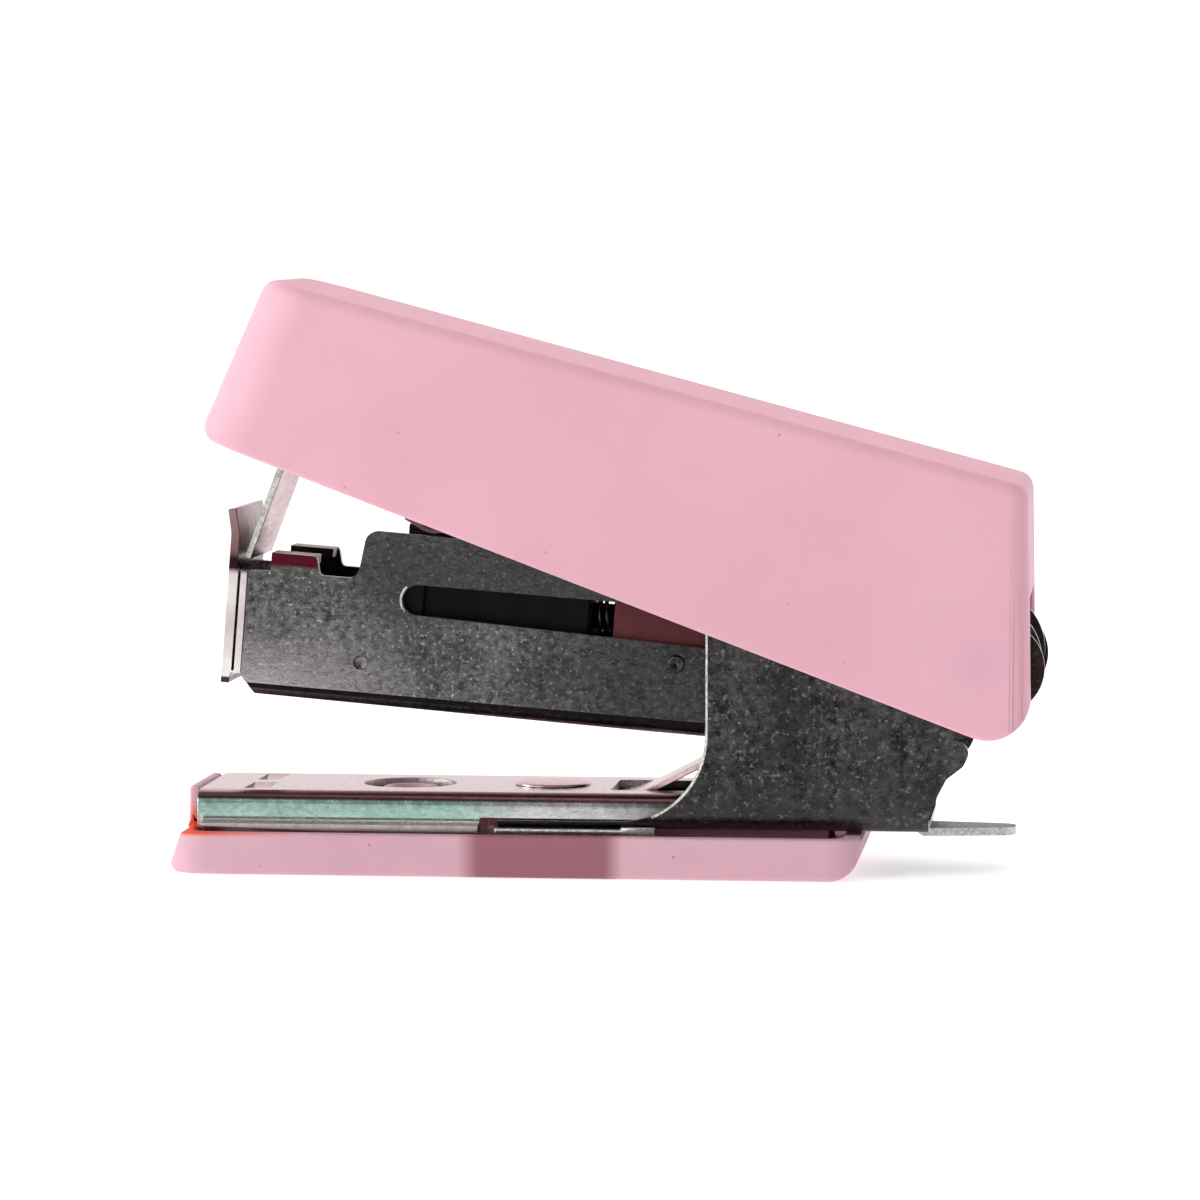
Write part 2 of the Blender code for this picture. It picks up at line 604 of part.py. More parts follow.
def handle_block(name, inset, edge, steps):
    """The handle's form, far too deep below; or its hollow when inset. Its roof edge is rounded.

    It is an upright block with its roof at zero, until lean_handle gives it the slopes.
    """
    front = HANDLE_FRONT_BOTTOM[0] + inset
    rear = back_x(0, HANDLE_BACK_REACH - inset)
    width = HANDLE_HALF_WIDTH - inset
    front_radius = HANDLE_FRONT_RADIUS - inset
    rear_radius = HANDLE_REAR_RADIUS - inset
    plan = rounded([(front, -width, front_radius), (rear, -width, rear_radius),
                    (rear, width, rear_radius), (front, width, front_radius)])
    turns = [pi / 2 * i / steps for i in range(steps + 1)]
    levels = [(0, -22)] + [(edge * (1 - cos(t)), -inset - edge * (1 - sin(t))) for t in turns]
    points = []
    for narrower, height in levels:
        points += [(x * MM, y * MM, height * MM) for x, y in inset_loop(plan, narrower)]
    count = len(plan)
    faces = [tuple(reversed(range(count))), tuple(range(len(points) - count, len(points)))]
    for low in range(0, len(points) - count, count):
        for i in range(count):
            after = (i + 1) % count
            faces.append((low + i, low + after, low + count + after, low + count + i))
    mesh = bpy.data.meshes.new(name)
    mesh.from_pydata(points, [], faces)
    piece = bpy.data.objects.new(name, mesh)
    bpy.context.scene.collection.objects.link(piece)
    return piece


def lean_handle(body):
    """Gives the upright block the handle's roof slope and the leans of its front and rear faces."""
    low = HANDLE_FRONT_BOTTOM[1]
    front_lean = (HANDLE_FRONT_TOP[0] - HANDLE_FRONT_BOTTOM[0]) / (HANDLE_FRONT_TOP[1] - low)
    rear_lean = -sin(HANDLE_BACK_TILT) / cos(HANDLE_BACK_TILT)
    front = HANDLE_FRONT_BOTTOM[0]
    length = back_x(0, HANDLE_BACK_REACH) - front
    for vertex in body.data.vertices:
        x, y, z = vertex.co / MM
        share = (x - front) / length
        lean = front_lean + (rear_lean - front_lean) * share
        start = x - (1 - share) * front_lean * low
        new_x = (start + lean * (z + roof_height(0))) / (1 - lean * ROOF_SLOPE)
        vertex.co = Vector((new_x, y, z + roof_height(new_x))) * MM
    return body


def handle_shell():
    """Plastic shell, open below, with hinge bosses inside and a gap at the rear for the ears."""
    shell = lean_handle(handle_block("handle_shell", 0, HANDLE_EDGE_RADIUS, 3))
    front, low = HANDLE_FRONT_BOTTOM
    spare = 0.02                # keeps the trimming faces off the shell's own
    rear = HANDLE_BACK_REACH + spare
    foot = rounded([(front - spare, low, 1.4), (back_x(low, rear), low, 2.9), (back_x(15, rear), 15, 0),
                    (HANDLE_FRONT_TOP[0] - spare, 15, 0)])
    shell = combine(shell, prism("foot", [foot], 30), "INTERSECT")
    shell = combine(shell, lean_handle(handle_block("hollow", HANDLE_WALL, 0.28, 1)))
    gap_side = FRAME_HALF_WIDTH + 0.55
    shell = combine(shell, block("gap", (-1.2, -gap_side, -9), (9, gap_side, 5.2)))
    for side in (-1, 1):
        low, high = sorted((side * BOSS_INNER, side * (HANDLE_HALF_WIDTH - 0.6)))
        boss = rod("boss", 2.7, low, high, "Y", (0, 0, 0))
        shell = combine(shell, boss, "UNION")
    shell = combine(shell, rod("hole", PIN_HOLE_RADIUS, -PIN_HALF_LENGTH - 0.1,
                               PIN_HALF_LENGTH + 0.1, "Y", (0, 0, 0)))
    plate_top = DRIVER_PLATE_BOTTOM + DRIVER_PLATE_SHEET
    for x in (SCREW_FRONT_X, SCREW_REAR_X):
        roof = roof_height(x) - 0.5
        post = rod("post", 1.7, plate_top + 0.06, roof, "Z", (x, 0, 0))
        shell = combine(shell, post, "UNION")
        shell = combine(shell, rod("hole", SCREW_RADIUS + 0.06, 0, roof - 1.3, "Z", (x, 0, 0)))
    return shell


def driver_plate():
    """Steel strip under the roof that carries the blade."""
    low = DRIVER_PLATE_BOTTOM
    high = low + DRIVER_PLATE_SHEET
    plan = rounded([(-50.6, -DRIVER_HALF_WIDTH, 0.8), (-8.0, -DRIVER_HALF_WIDTH, 1.5),
                    (-8.0, DRIVER_HALF_WIDTH, 1.5), (-50.6, DRIVER_HALF_WIDTH, 0.8)])
    holes = [circle((SCREW_FRONT_X, 0), SCREW_RADIUS + 0.1), circle((SCREW_REAR_X, 0), SCREW_RADIUS + 0.1),
             circle((BLADE_RIVET_X, 0), 0.68)]
    return prism("driver_plate", [plan] + holes, high - low, "XY", (low + high) / 2)


def driver_blade():
    """Blade that shears off and drives one staple, with a flange under the driver plate."""
    flange = DRIVER_PLATE_BOTTOM - 0.07 - BLADE_SHEET / 2
    path = [(-44.4, flange, 0), (BLADE_X, flange, 0.7), (BLADE_X, BLADE_TIP, 0)]
    blade = bent_sheet("driver_blade", path, BLADE_SHEET, 2 * BLADE_HALF_WIDTH)
    return combine(blade, rod("hole", 0.68, 2, 6, "Z", (BLADE_RIVET_X, 0, 0)))


def blade_rivet():
    top = DRIVER_PLATE_BOTTOM + DRIVER_PLATE_SHEET + 0.04
    bottom = DRIVER_PLATE_BOTTOM - 0.07 - BLADE_SHEET - 0.04
    profile = [(0, top + 0.4), (0.8, top + 0.35), (1.15, top), (0.6, top), (0.6, bottom),
               (1.15, bottom), (0.8, bottom - 0.35), (0, bottom - 0.4)]
    return turned("blade_rivet", profile, (BLADE_RIVET_X, 0, 0))


def driver_screw(name, x, head_top, length):
    """Pan-head screw driven up into one of the roof's posts."""
    profile = [(0, head_top + length), (0.3, head_top + length), (SCREW_RADIUS, head_top + length - 0.5),
               (SCREW_RADIUS, head_top), (1.5, head_top), (1.5, head_top - 0.35),
               (1.1, head_top - 0.75), (0, head_top - 0.8)]
    return turned(name, profile, (x, 0, 0))


def handle_spring():
    """Leaf under the driver plate whose tip bears on the magazine and lifts the handle."""
    top = DRIVER_PLATE_BOTTOM - 0.07 - HANDLE_SPRING_SHEET / 2
    path = [(-10.0, top, 0), (-19.0, top, 3.0), (-38.6, -5.45, 1.5), (-40.5, -5.1, 0)]
    leaf = bent_sheet("handle_spring", path, HANDLE_SPRING_SHEET, 2 * HANDLE_SPRING_HALF_WIDTH)
    return combine(leaf, rod("hole", SCREW_RADIUS + 0.1, 2, 6, "Z", (SCREW_REAR_X, 0, 0)))


# ---------------------------------------------------------------- assembly

def material(name, colour, roughness, metallic):
    """A plain material with a linear colour."""
    finish = bpy.data.materials.new(name)
    finish.use_nodes = True
    shader = finish.node_tree.nodes["Principled BSDF"]
    shader.inputs["Base Color"].default_value = (*colour, 1)
    shader.inputs["Roughness"].default_value = roughness
    shader.inputs["Metallic"].default_value = metallic
    finish.diffuse_color = (*colour, 1)
    return finish


def frame_empty(name, collection, tilt):
    """An empty on the pin's axis, turned to the rest position of what it carries."""
    empty = bpy.data.objects.new(name, None)
    empty.location = Vector((PIVOT_X, 0, PIVOT_Z)) * MM
    empty.rotation_euler = (0, tilt, 0)
    collection.objects.link(empty)
    return empty


def main():
    for thing in list(bpy.data.objects):
        bpy.data.objects.remove(thing)
    collection = make_collection("stapler")
    magazine_axis = frame_empty("magazine_axis", collection, MAGAZINE_TILT)
    handle_axis = frame_empty("handle_axis", collection, HANDLE_TILT)

    pink = material("pink_plastic", (0.82, 0.45, 0.52), 0.35, 0.0)
    nickel = material("nickel_steel", (0.72, 0.72, 0.70), 0.22, 1.0)
    dark = material("mottled_steel", (0.13, 0.13, 0.13), 0.45, 0.9)
    grey = material("magazine_steel", (0.28, 0.28, 0.28), 0.4, 0.9)
    spring = material("spring_steel", (0.42, 0.40, 0.38), 0.3, 1.0)
    black = material("black_plastic", (0.02, 0.02, 0.02), 0.4, 0.0)
    staple = material("staple_wire", (0.65, 0.65, 0.64), 0.3, 1.0)

    plate_under = DRIVER_PLATE_BOTTOM - 0.04
    spring_under = DRIVER_PLATE_BOTTOM - 0.07 - HANDLE_SPRING_SHEET - 0.04
    pieces = [
        (base_tray(), pink, None),
        (anvil_plate(), nickel, None),
        (rear_frame(), dark, None),
        (leaf_spring(), spring, None),
        (base_rivet("leaf_rivet", LEAF_RIVET_X, 2.65, 0.28), nickel, None),
        (base_rivet("anvil_rivet", ANVIL_RIVET_X, 2.0, 0.45), nickel, None),
        (pivot_pin(), spring, None),
        (magazine_channel(), grey, magazine_axis),
        (front_plate(), nickel, magazine_axis),
        (rear_bracket(), dark, magazine_axis),
        (bracket_rivet("bracket_rivet_left", 1), grey, magazine_axis),
        (bracket_rivet("bracket_rivet_right", -1), grey, magazine_axis),
        (guide_rod(), spring, magazine_axis),
        (staple_strip(), staple, magazine_axis),
        (pusher(), black, magazine_axis),
        (pusher_spring(), spring, magazine_axis),
        (handle_shell(), pink, handle_axis),
        (driver_plate(), nickel, handle_axis),
        (driver_blade(), nickel, handle_axis),
        (blade_rivet(), nickel, handle_axis),
        (driver_screw("driver_screw_front", SCREW_FRONT_X, plate_under, 2.2), spring, handle_axis),
        (driver_screw("driver_screw_rear", SCREW_REAR_X, spring_under, 4.6), spring, handle_axis),
        (handle_spring(), spring, handle_axis),
    ]
    for piece, finish, parent in pieces:
        piece.parent = parent
        piece.data.materials.clear()
        piece.data.materials.append(finish)
        piece.data.shade_smooth()
        piece.data.set_sharp_from_angle(angle=radians(35))
        collection.objects.link(piece)
        bpy.context.scene.collection.objects.unlink(piece)


main()
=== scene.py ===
"""The looks of a pocket stapler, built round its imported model.

Every piece is drawn again here at a finer grain than the solids: rounded sheet edges, bright sheared
cuts, single staples, closely wound springs. Lengths are in millimetres and become metres where a mesh is
made. The magazine's and the handle's pieces are drawn in frames on the pin's axis, as the solids are, with
x towards the rear and z away from the base.
"""
import json
from math import atan2, ceil, cos, pi, radians, sin, tan

import bmesh
import bpy
from mathutils import Matrix, Vector


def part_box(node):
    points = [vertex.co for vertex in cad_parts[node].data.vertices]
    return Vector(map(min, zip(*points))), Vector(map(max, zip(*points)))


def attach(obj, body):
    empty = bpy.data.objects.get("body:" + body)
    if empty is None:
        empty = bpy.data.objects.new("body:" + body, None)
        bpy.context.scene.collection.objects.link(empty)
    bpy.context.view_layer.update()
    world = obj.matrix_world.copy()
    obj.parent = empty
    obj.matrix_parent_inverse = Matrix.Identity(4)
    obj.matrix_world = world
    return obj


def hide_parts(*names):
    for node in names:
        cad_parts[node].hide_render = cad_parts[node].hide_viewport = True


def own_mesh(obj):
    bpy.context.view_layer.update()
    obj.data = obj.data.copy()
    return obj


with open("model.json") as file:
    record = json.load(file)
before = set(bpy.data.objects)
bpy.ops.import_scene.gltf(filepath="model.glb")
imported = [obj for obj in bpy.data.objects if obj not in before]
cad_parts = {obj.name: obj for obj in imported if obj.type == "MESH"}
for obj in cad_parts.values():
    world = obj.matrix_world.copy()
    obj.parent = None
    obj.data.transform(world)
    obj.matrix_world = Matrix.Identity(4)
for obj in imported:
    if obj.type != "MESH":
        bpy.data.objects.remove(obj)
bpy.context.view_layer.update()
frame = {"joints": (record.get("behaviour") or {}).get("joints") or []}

MM = 0.001                      # metres in a millimetre
ARC_STEP = radians(6)           # the coarsest step along a rounded corner
ARC_CHORD = 0.14                # and the shortest piece that a step may make
ROUND_SIDES = 48
MERGE = 0.000002                # points closer than this, in metres, are one
FLAT = radians(0.3)             # faces that turn less than this are one
EDGE_ROUND = 0.07               # rounding of a sheared sheet edge
BLADE_HALF_WIDTH = 4.5
PLAY = 0.08                     # between a pin or rivet and its hole

joints = {joint["name"]: joint for joint in frame["joints"]}
PIVOT = Vector(joints["magazine_pivot"]["pos_m"])
slide = joints["pusher_slide"]["axis"]
MAGAZINE_TILT = atan2(-slide[2], slide[0])
HANDLE_TILT = radians(20.8)
MAGAZINE = Matrix.Translation(PIVOT) @ Matrix.Rotation(MAGAZINE_TILT, 4, "Y")
HANDLE = Matrix.Translation(PIVOT) @ Matrix.Rotation(HANDLE_TILT, 4, "Y")
FRAMES = {"base": Matrix.Identity(4), "magazine": MAGAZINE, "pusher": MAGAZINE, "handle": HANDLE}


def box_mm(node):
    """A solid's lowest and highest corners, in millimetres."""
    low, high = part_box(node)
    return [c / MM for c in low], [c / MM for c in high]


tray_low, tray_high = box_mm("base_tray")
anvil_low, anvil_high = box_mm("anvil_plate")
frame_low, frame_high = box_mm("rear_frame")
channel_high = box_mm("magazine_channel")[1]
shell_high = box_mm("handle_shell")[1]
PIVOT_X = PIVOT.x / MM
PIVOT_Z = PIVOT.z / MM


# ---------------------------------------- materials

REARWARD, ACROSS, UP = (1, 0, 0), (0, 1, 0), (0, 0, 1)
CHANNEL_UP, CHANNEL_REARWARD = (tuple(MAGAZINE.to_3x3() @ Vector(axis)) for axis in (UP, REARWARD))
PIN = tuple(PIVOT / MM)


class Tree:
    """The node tree of a world or a material."""

    def __init__(self, owner):
        owner.use_nodes = True
        self.tree = owner.node_tree

    def feed(self, socket, value):
        """Gives a socket a value, or links it to another node's output."""
        if isinstance(value, bpy.types.NodeSocket):
            self.tree.links.new(value, socket)
        else:
            socket.default_value = value

    def add(self, kind, inputs=None, **settings):
        node = self.tree.nodes.new("ShaderNode" + kind)
        for key, value in settings.items():
            setattr(node, key, value)
        for key, value in (inputs or {}).items():
            self.feed(node.inputs[key], value)
        return node


class Nodes(Tree):
    """A material's node tree, with short calls for the nodes that the finishes share."""

    def __init__(self, name):
        self.material = bpy.data.materials.new(name)
        super().__init__(self.material)
        self.shader = self.tree.nodes["Principled BSDF"]
        self.place = self.add("TexCoord").outputs["Object"]
        self.tone = None            # the colour so far

    def vector_math(self, operation, first, second=(0, 0, 0)):
        return self.add("VectorMath", {0: first, 1: second}, operation=operation).outputs

    def noise(self, size_mm, detail=3.0, rough=0.55, stretch=None):
        """Noise whose blotches are about size_mm across."""
        source = self.place
        if stretch:
            source = self.add("Mapping", {"Vector": source, "Scale": stretch}).outputs["Vector"]
        node = self.add("TexNoise", {"Vector": source, "Scale": 1 / (size_mm * MM), "Detail": detail,
                                     "Roughness": rough})
        return node.outputs["Fac"]

    def remap(self, source, low, high, start=0.3, end=0.7):
        """Carries the range from start to end over to the range from low to high."""
        node = self.add("MapRange", {"Value": source, "From Min": start, "From Max": end,
                                     "To Min": low, "To Max": high})
        return node.outputs["Result"]

    def cloud(self, size_mm, low=0, high=1, detail=3.0, start=0.3, end=0.7):
        """Noise carried over to a range."""
        return self.remap(self.noise(size_mm, detail), low, high, start, end)

    def ramp(self, direction, start_mm, end_mm, origin_mm=(0, 0, 0)):
        """0 up to one place along a direction and 1 past another; the other way round if start > end."""
        shift = self.vector_math("SUBTRACT", self.place, [c * MM for c in origin_mm])["Vector"]
        height = self.vector_math("DOT_PRODUCT", shift, direction)["Value"]
        if start_mm < end_mm:
            return self.remap(height, 0, 1, start_mm * MM, end_mm * MM)
        return self.remap(height, 1, 0, end_mm * MM, start_mm * MM)

    def above_pin(self, start_mm, end_mm):
        """A ramp along the magazine's own height."""
        return self.ramp(CHANNEL_UP, start_mm, end_mm, PIN)

    def times(self, factor, *others):
        for other in others:
            factor = self.add("Math", {0: factor, 1: other}, operation="MULTIPLY").outputs["Value"]
        return factor

    def facing_up(self):
        """1 on faces that look upwards."""
        parts = self.add("SeparateXYZ", {"Vector": self.add("TexCoord").outputs["Normal"]})
        return self.remap(parts.outputs["Z"], 0, 1, 0.75, 0.95)

    def blend(self, factor, first, second):
        """A colour between two colours, each of them a socket or a tuple."""
        ends = [(*end, 1) if isinstance(end, tuple) else end for end in (first, second)]
        node = self.add("Mix", {"Factor": factor, "A": ends[0], "B": ends[1]}, data_type="RGBA")
        return node.outputs["Result"]

    def tint(self, where, colour, amount=None):
        """Turns the tone to a colour where a factor is 1, wholly or by an amount."""
        self.tone = self.blend(self.times(where, amount) if amount else where, self.tone, colour)

    def cloudy(self, dark, light, size_mm, detail=3.0):
        """Two colours in clouds of a size."""
        return self.blend(self.cloud(size_mm, detail=detail), dark, light)

    def roughness(self, source):
        self.feed(self.shader.inputs["Roughness"], source)

    def bump(self, height, depth_mm, strength=1.0):
        inputs = {"Strength": strength, "Distance": depth_mm * MM, "Height": height}
        before = self.shader.inputs["Normal"].links
        if before:
            inputs["Normal"] = before[0].from_socket
        self.feed(self.shader.inputs["Normal"], self.add("Bump", inputs).outputs["Normal"])

    def set(self, **values):
        for key, value in values.items():
            self.shader.inputs[key.replace("_", " ")].default_value = value

    def finish(self):
        """The material, with the tone as its colour."""
        self.feed(self.shader.inputs["Base Color"], self.tone)
        return self.material


def pink_plastic(name, dark, light):
    """Satin moulded plastic, slightly translucent, in soft clouds and with a few specks in it."""
    nodes = Nodes(name)
    nodes.tone = nodes.cloudy(dark, light, 13.0, 2.0)
    nodes.tint(nodes.cloud(1.6, 0.0, 0.3, 4.0), (0.765, 0.445, 0.52))
    nodes.tint(nodes.cloud(0.55, 0.0, 0.55, 1.0, 0.765, 0.81), (0.33, 0.14, 0.17))
    nodes.roughness(nodes.cloud(5.0, 0.40, 0.52, 4.0))
    nodes.bump(nodes.noise(0.9, 2.0), 0.010, 0.5)
    nodes.set(Specular_IOR_Level=0.12, IOR=1.42, Subsurface_Weight=0.25, Subsurface_Scale=0.0018,
              Subsurface_Radius=(1.0, 0.30, 0.30))
    return nodes


def handle_plastic():
    """The pink plastic, with the pin's end showing faintly through it and painted shade on the roof: a
    fuller pink that tones down the light the roof catches.
    """
    nodes = pink_plastic("pink_plastic", (0.743, 0.405, 0.488), (0.785, 0.453, 0.537))
    apart = nodes.vector_math("SUBTRACT", nodes.place, PIVOT)["Vector"]
    beside = nodes.vector_math("MULTIPLY", apart, (1, 0, 1))["Vector"]
    distance = nodes.vector_math("LENGTH", beside)["Value"]
    nodes.tint(nodes.remap(distance, 0.55, 0, 0.9 * MM, 2.3 * MM), (0.70, 0.40, 0.50))
    # painted shade: a fuller, darker pink on faces that look up
    nodes.tint(nodes.facing_up(), (0.85, 0.415, 0.50))
    return nodes.finish()


def tray_plastic():
    """The same plastic, with a painted dark reflection in the middle and a painted warm red glow of bounced
    light in the inner front corner.
    """
    nodes = pink_plastic("tray_plastic", (0.640, 0.390, 0.460), (0.675, 0.434, 0.504))
    # painted reflection: a darker patch in the middle, something dark mirrored in the gloss
    painted_dark_reflection = nodes.times(nodes.ramp(REARWARD, -10.2, -8.8), nodes.ramp(REARWARD, 1.2, 0.0))
    nodes.tint(painted_dark_reflection, (0.284, 0.097, 0.125), 0.85)
    # painted glow: the warm red of light bounced within the pink plastic, in the inner front corner
    corner = nodes.times(nodes.ramp(REARWARD, -21.0, -28.6), nodes.ramp(UP, 4.6, 3.1),
                         nodes.ramp(UP, 2.55, 2.8))
    nodes.tint(corner, (0.86, 0.085, 0.03))
    return nodes.finish()


def mottled_steel(name, dark, light, roughness, depth_mm):
    """Plated sheet with a finely pebbled skin with painted glints, faint streaks and darker regions."""
    nodes = Nodes(name)
    pebble = nodes.noise(0.50, 3.0, 0.7)
    streak = nodes.noise(0.9, 3.0, 0.6, (1, 1, 0.22))
    region = nodes.noise(7.0, 2.0)
    painted_glints = nodes.noise(0.30, 2.0, 0.6)
    nodes.tone = nodes.blend(nodes.remap(pebble, 0, 1, 0.40, 0.66), dark, light)
    nodes.tint(nodes.remap(streak, 0.0, 0.45, 0.35, 0.7), light)
    nodes.tint(nodes.remap(region, 0.0, 0.6, 0.35, 0.65), dark)
    bright = tuple(min(1, c * 2.4) for c in light)
    # painted glints: bright specks in the colour
    nodes.tint(nodes.remap(painted_glints, 0.0, 0.7, 0.58, 0.74), bright)
    nodes.roughness(nodes.remap(pebble, roughness - 0.10, roughness + 0.12))
    nodes.bump(pebble, depth_mm)
    nodes.bump(nodes.noise(0.2, 2.0), depth_mm * 0.35)
    nodes.set(Metallic=1.0)
    return nodes


def frame_steel():
    """A little lighter near the floor, with painted shade on the ears' round, where they mirror the
    handle's dark inside.
    """
    nodes = mottled_steel("frame_steel", (0.016, 0.015, 0.015), (0.105, 0.10, 0.10), 0.36, 0.05)
    nodes.tint(nodes.ramp(UP, 7.5, 3.5), (0.09, 0.085, 0.085), 0.35)
    # painted shade: the ears' round darkened to the dim maroon of the handle's inside
    nodes.tint(nodes.ramp(REARWARD, 27.2, 28.2), (0.022, 0.009, 0.009), 0.7)
    return nodes.finish()


def channel_steel():
    """Painted light at its front foot; painted shade at the shoulder, at the rear, on the tabs, inside and
    below the crease; a painted pink reflection on faces that look up.
    """
    nodes = mottled_steel("channel_steel", (0.045, 0.044, 0.044), (0.235, 0.23, 0.23), 0.34, 0.05)
    # painted reflection: the pink handle seen in faces that look up
    nodes.tint(nodes.facing_up(), (0.95, 0.42, 0.47))
    # painted light on the front foot, outside the handle's shade
    front = nodes.times(nodes.ramp(REARWARD, -13.0, -24.0), nodes.ramp(UP, 17.0, 13.0))
    nodes.tint(front, (0.47, 0.42, 0.43), 0.7)
    # painted shade towards the rear, under the handle
    nodes.tint(nodes.ramp(REARWARD, -9.0, 1.0), (0.022, 0.021, 0.021), 0.70)
    # painted shade at the shoulder, under the handle's edge
    shoulder = nodes.times(nodes.ramp(REARWARD, -20.0, -17.0), nodes.ramp(UP, 16.5, 19.5))
    nodes.tint(shoulder, (0.05, 0.048, 0.05), 0.65)
    # painted shade: the tabs' upright faces in dark maroon
    tab = nodes.times(nodes.above_pin(2.25, 2.45), nodes.ramp(CHANNEL_REARWARD, -45.2, -45.6, PIN),
                      nodes.remap(nodes.facing_up(), 1, 0, 0, 1))
    nodes.tint(tab, (0.09, 0.010, 0.020))
    # painted shade below the crease along the foot
    nodes.tint(nodes.above_pin(-6.08, -6.26), (0.010, 0.008, 0.008), 0.85)
    # painted shade on the inner faces
    inside = nodes.times(nodes.ramp(ACROSS, -5.05, -4.95), nodes.ramp(ACROSS, 5.05, 4.95))
    nodes.tint(inside, (0.035, 0.022, 0.024), 0.9)
    return nodes.finish()


def sheared_edge():
    """The bright torn band where a sheet was cut."""
    nodes = Nodes("sheared_edge")
    tear = nodes.noise(0.22, 4.0, 0.7)
    nodes.roughness(nodes.remap(tear, 0.25, 0.5))
    nodes.bump(tear, 0.04)
    nodes.set(Metallic=1.0)
    nodes.tone = nodes.blend(nodes.remap(tear, 0, 1), (0.30, 0.29, 0.28), (0.86, 0.84, 0.80))
    return nodes.finish()


def nickel(name, dark, light, roughness, brushed=None):
    """Bright plated sheet with faint rolling marks."""
    nodes = Nodes(name)
    marks = nodes.noise(0.5, 4.0, 0.6, brushed)
    nodes.tone = nodes.cloudy(dark, light, 4.0)
    nodes.tint(nodes.remap(marks, 0.0, 0.3), light)
    nodes.roughness(nodes.remap(marks, roughness, roughness + 0.12))
    nodes.bump(marks, 0.008)
    nodes.set(Metallic=1.0)
    return nodes


def plain_nickel(*settings, painted_pink_reflection_top=None):
    nodes = nickel(*settings)
    # painted reflection: the pink of the handle on faces that look up
    if painted_pink_reflection_top:
        nodes.tint(nodes.facing_up(), painted_pink_reflection_top)
    return nodes.finish()


def anvil_nickel():
    """Painted green reflection on the sides in front, grey behind, painted shade at the rear, low on the
    sides and along the top edge, and a painted pink reflection on the top.
    """
    nodes = nickel("anvil_nickel", (0.72, 0.73, 0.72), (0.96, 0.96, 0.95), 0.18)
    # painted reflection: a bluish-green tint on the sides in front
    painted_green_reflection = nodes.cloudy((0.52, 0.80, 0.69), (0.68, 0.98, 0.86), 3.0)
    nodes.tint(nodes.ramp(REARWARD, -6.5, -10.5), painted_green_reflection)
    # painted shade towards the rear, near the ears
    nodes.tint(nodes.ramp(REARWARD, -0.5, 4.5), (0.10, 0.09, 0.09), 0.9)
    # painted shade low on the sides
    nodes.tint(nodes.ramp(UP, 3.75, 3.55), (0.40, 0.39, 0.38))
    # painted shade along the top edge
    nodes.tint(nodes.ramp(UP, 4.80, 4.95), (0.10, 0.045, 0.05))
    # painted reflection of the pink handle on the top
    nodes.tint(nodes.facing_up(), (0.58, 0.39, 0.41))
    return nodes.finish()


def nose_steel():
    """Bright upright plate, with a dark foot, painted deep shade where its lip starts, painted maroon shade
    on the lip and a painted pink reflection on faces that look up.
    """
    nodes = nickel("nose_steel", (0.50, 0.42, 0.42), (0.86, 0.82, 0.80), 0.2, (1, 1, 0.2))
    # painted shade where the lip starts
    shade = nodes.times(nodes.above_pin(1.5, 1.9), nodes.above_pin(6.0, 2.6))
    nodes.tint(shade, (0.035, 0.012, 0.015))
    nodes.tint(nodes.above_pin(-5.62, -5.74), (0.06, 0.035, 0.035))
    # painted shade: dim maroon on the lip
    nodes.tint(nodes.above_pin(2.6, 3.4), (0.22, 0.095, 0.105), 0.8)
    # painted reflection of the pink handle on faces that look up
    nodes.tint(nodes.facing_up(), (0.62, 0.33, 0.36))
    return nodes.finish()


def blade_steel():
    """Sheet coloured in a painted pink reflection of the handle, with a painted shade line beside its
    sheared edge.
    """
    # painted reflection: the sheet's rosy colour is the pink handle mirrored in it
    nodes = nickel("blade_steel", (0.40, 0.225, 0.245), (0.52, 0.31, 0.33), 0.24, (1, 0.15, 1))
    # painted shade: a dark line beside the sheared edge
    line = nodes.ramp((0, -1, 0), BLADE_HALF_WIDTH - 0.36, BLADE_HALF_WIDTH - 0.24)
    nodes.tint(line, (0.05, 0.03, 0.03))
    return nodes.finish()


def plain(name, dark, light, size_mm, roughness, grain, **settings):
    """Two close colours in clouds. The roughness is a size and a range, the grain a size and a depth."""
    nodes = Nodes(name)
    nodes.tone = nodes.cloudy(dark, light, size_mm)
    nodes.roughness(nodes.cloud(*roughness))
    nodes.bump(nodes.noise(grain[0]), grain[1])
    nodes.set(**settings)
    return nodes.finish()


PINK = handle_plastic()
TRAY_PINK = tray_plastic()
FRAME_STEEL = frame_steel()
CHANNEL_STEEL = channel_steel()
# painted shade: the bracket is coloured the dim maroon of the handle's pink inside in deep shade
SHADED_BRACKET_STEEL = plain("bracket_steel_painted_shade", (0.074, 0.010, 0.015), (0.108, 0.017, 0.023), 5.0,
                      (0.8, 0.42, 0.55), (0.4, 0.008), Metallic=0.5)
EDGE = sheared_edge()
# dark joints, and painted shade in the pressed creases
SEAM_AND_CREASE_SHADE = plain("dark_seam_and_crease_shade", (0.003, 0.002, 0.002), (0.012, 0.009, 0.009), 0.6,
             (0.5, 0.6, 0.8), (0.3, 0.01), Specular_IOR_Level=0.1)
ANVIL_STEEL = anvil_nickel()
NOSE_STEEL = nose_steel()
BLADE_STEEL = blade_steel()
BLACK = plain("black_plastic", (0.002, 0.002, 0.002), (0.006, 0.0055, 0.006), 1.5,
              (0.8, 0.35, 0.55), (0.3, 0.01), Specular_IOR_Level=0.08)
FRAME_RAIL = plain_nickel("frame_rail", (0.20, 0.195, 0.19), (0.42, 0.41, 0.40), 0.3)
NICKEL = plain_nickel("nose_nickel", (0.52, 0.47, 0.47), (0.78, 0.74, 0.73), 0.20, (1, 1, 0.2),
                      painted_pink_reflection_top=(0.62, 0.33, 0.36))
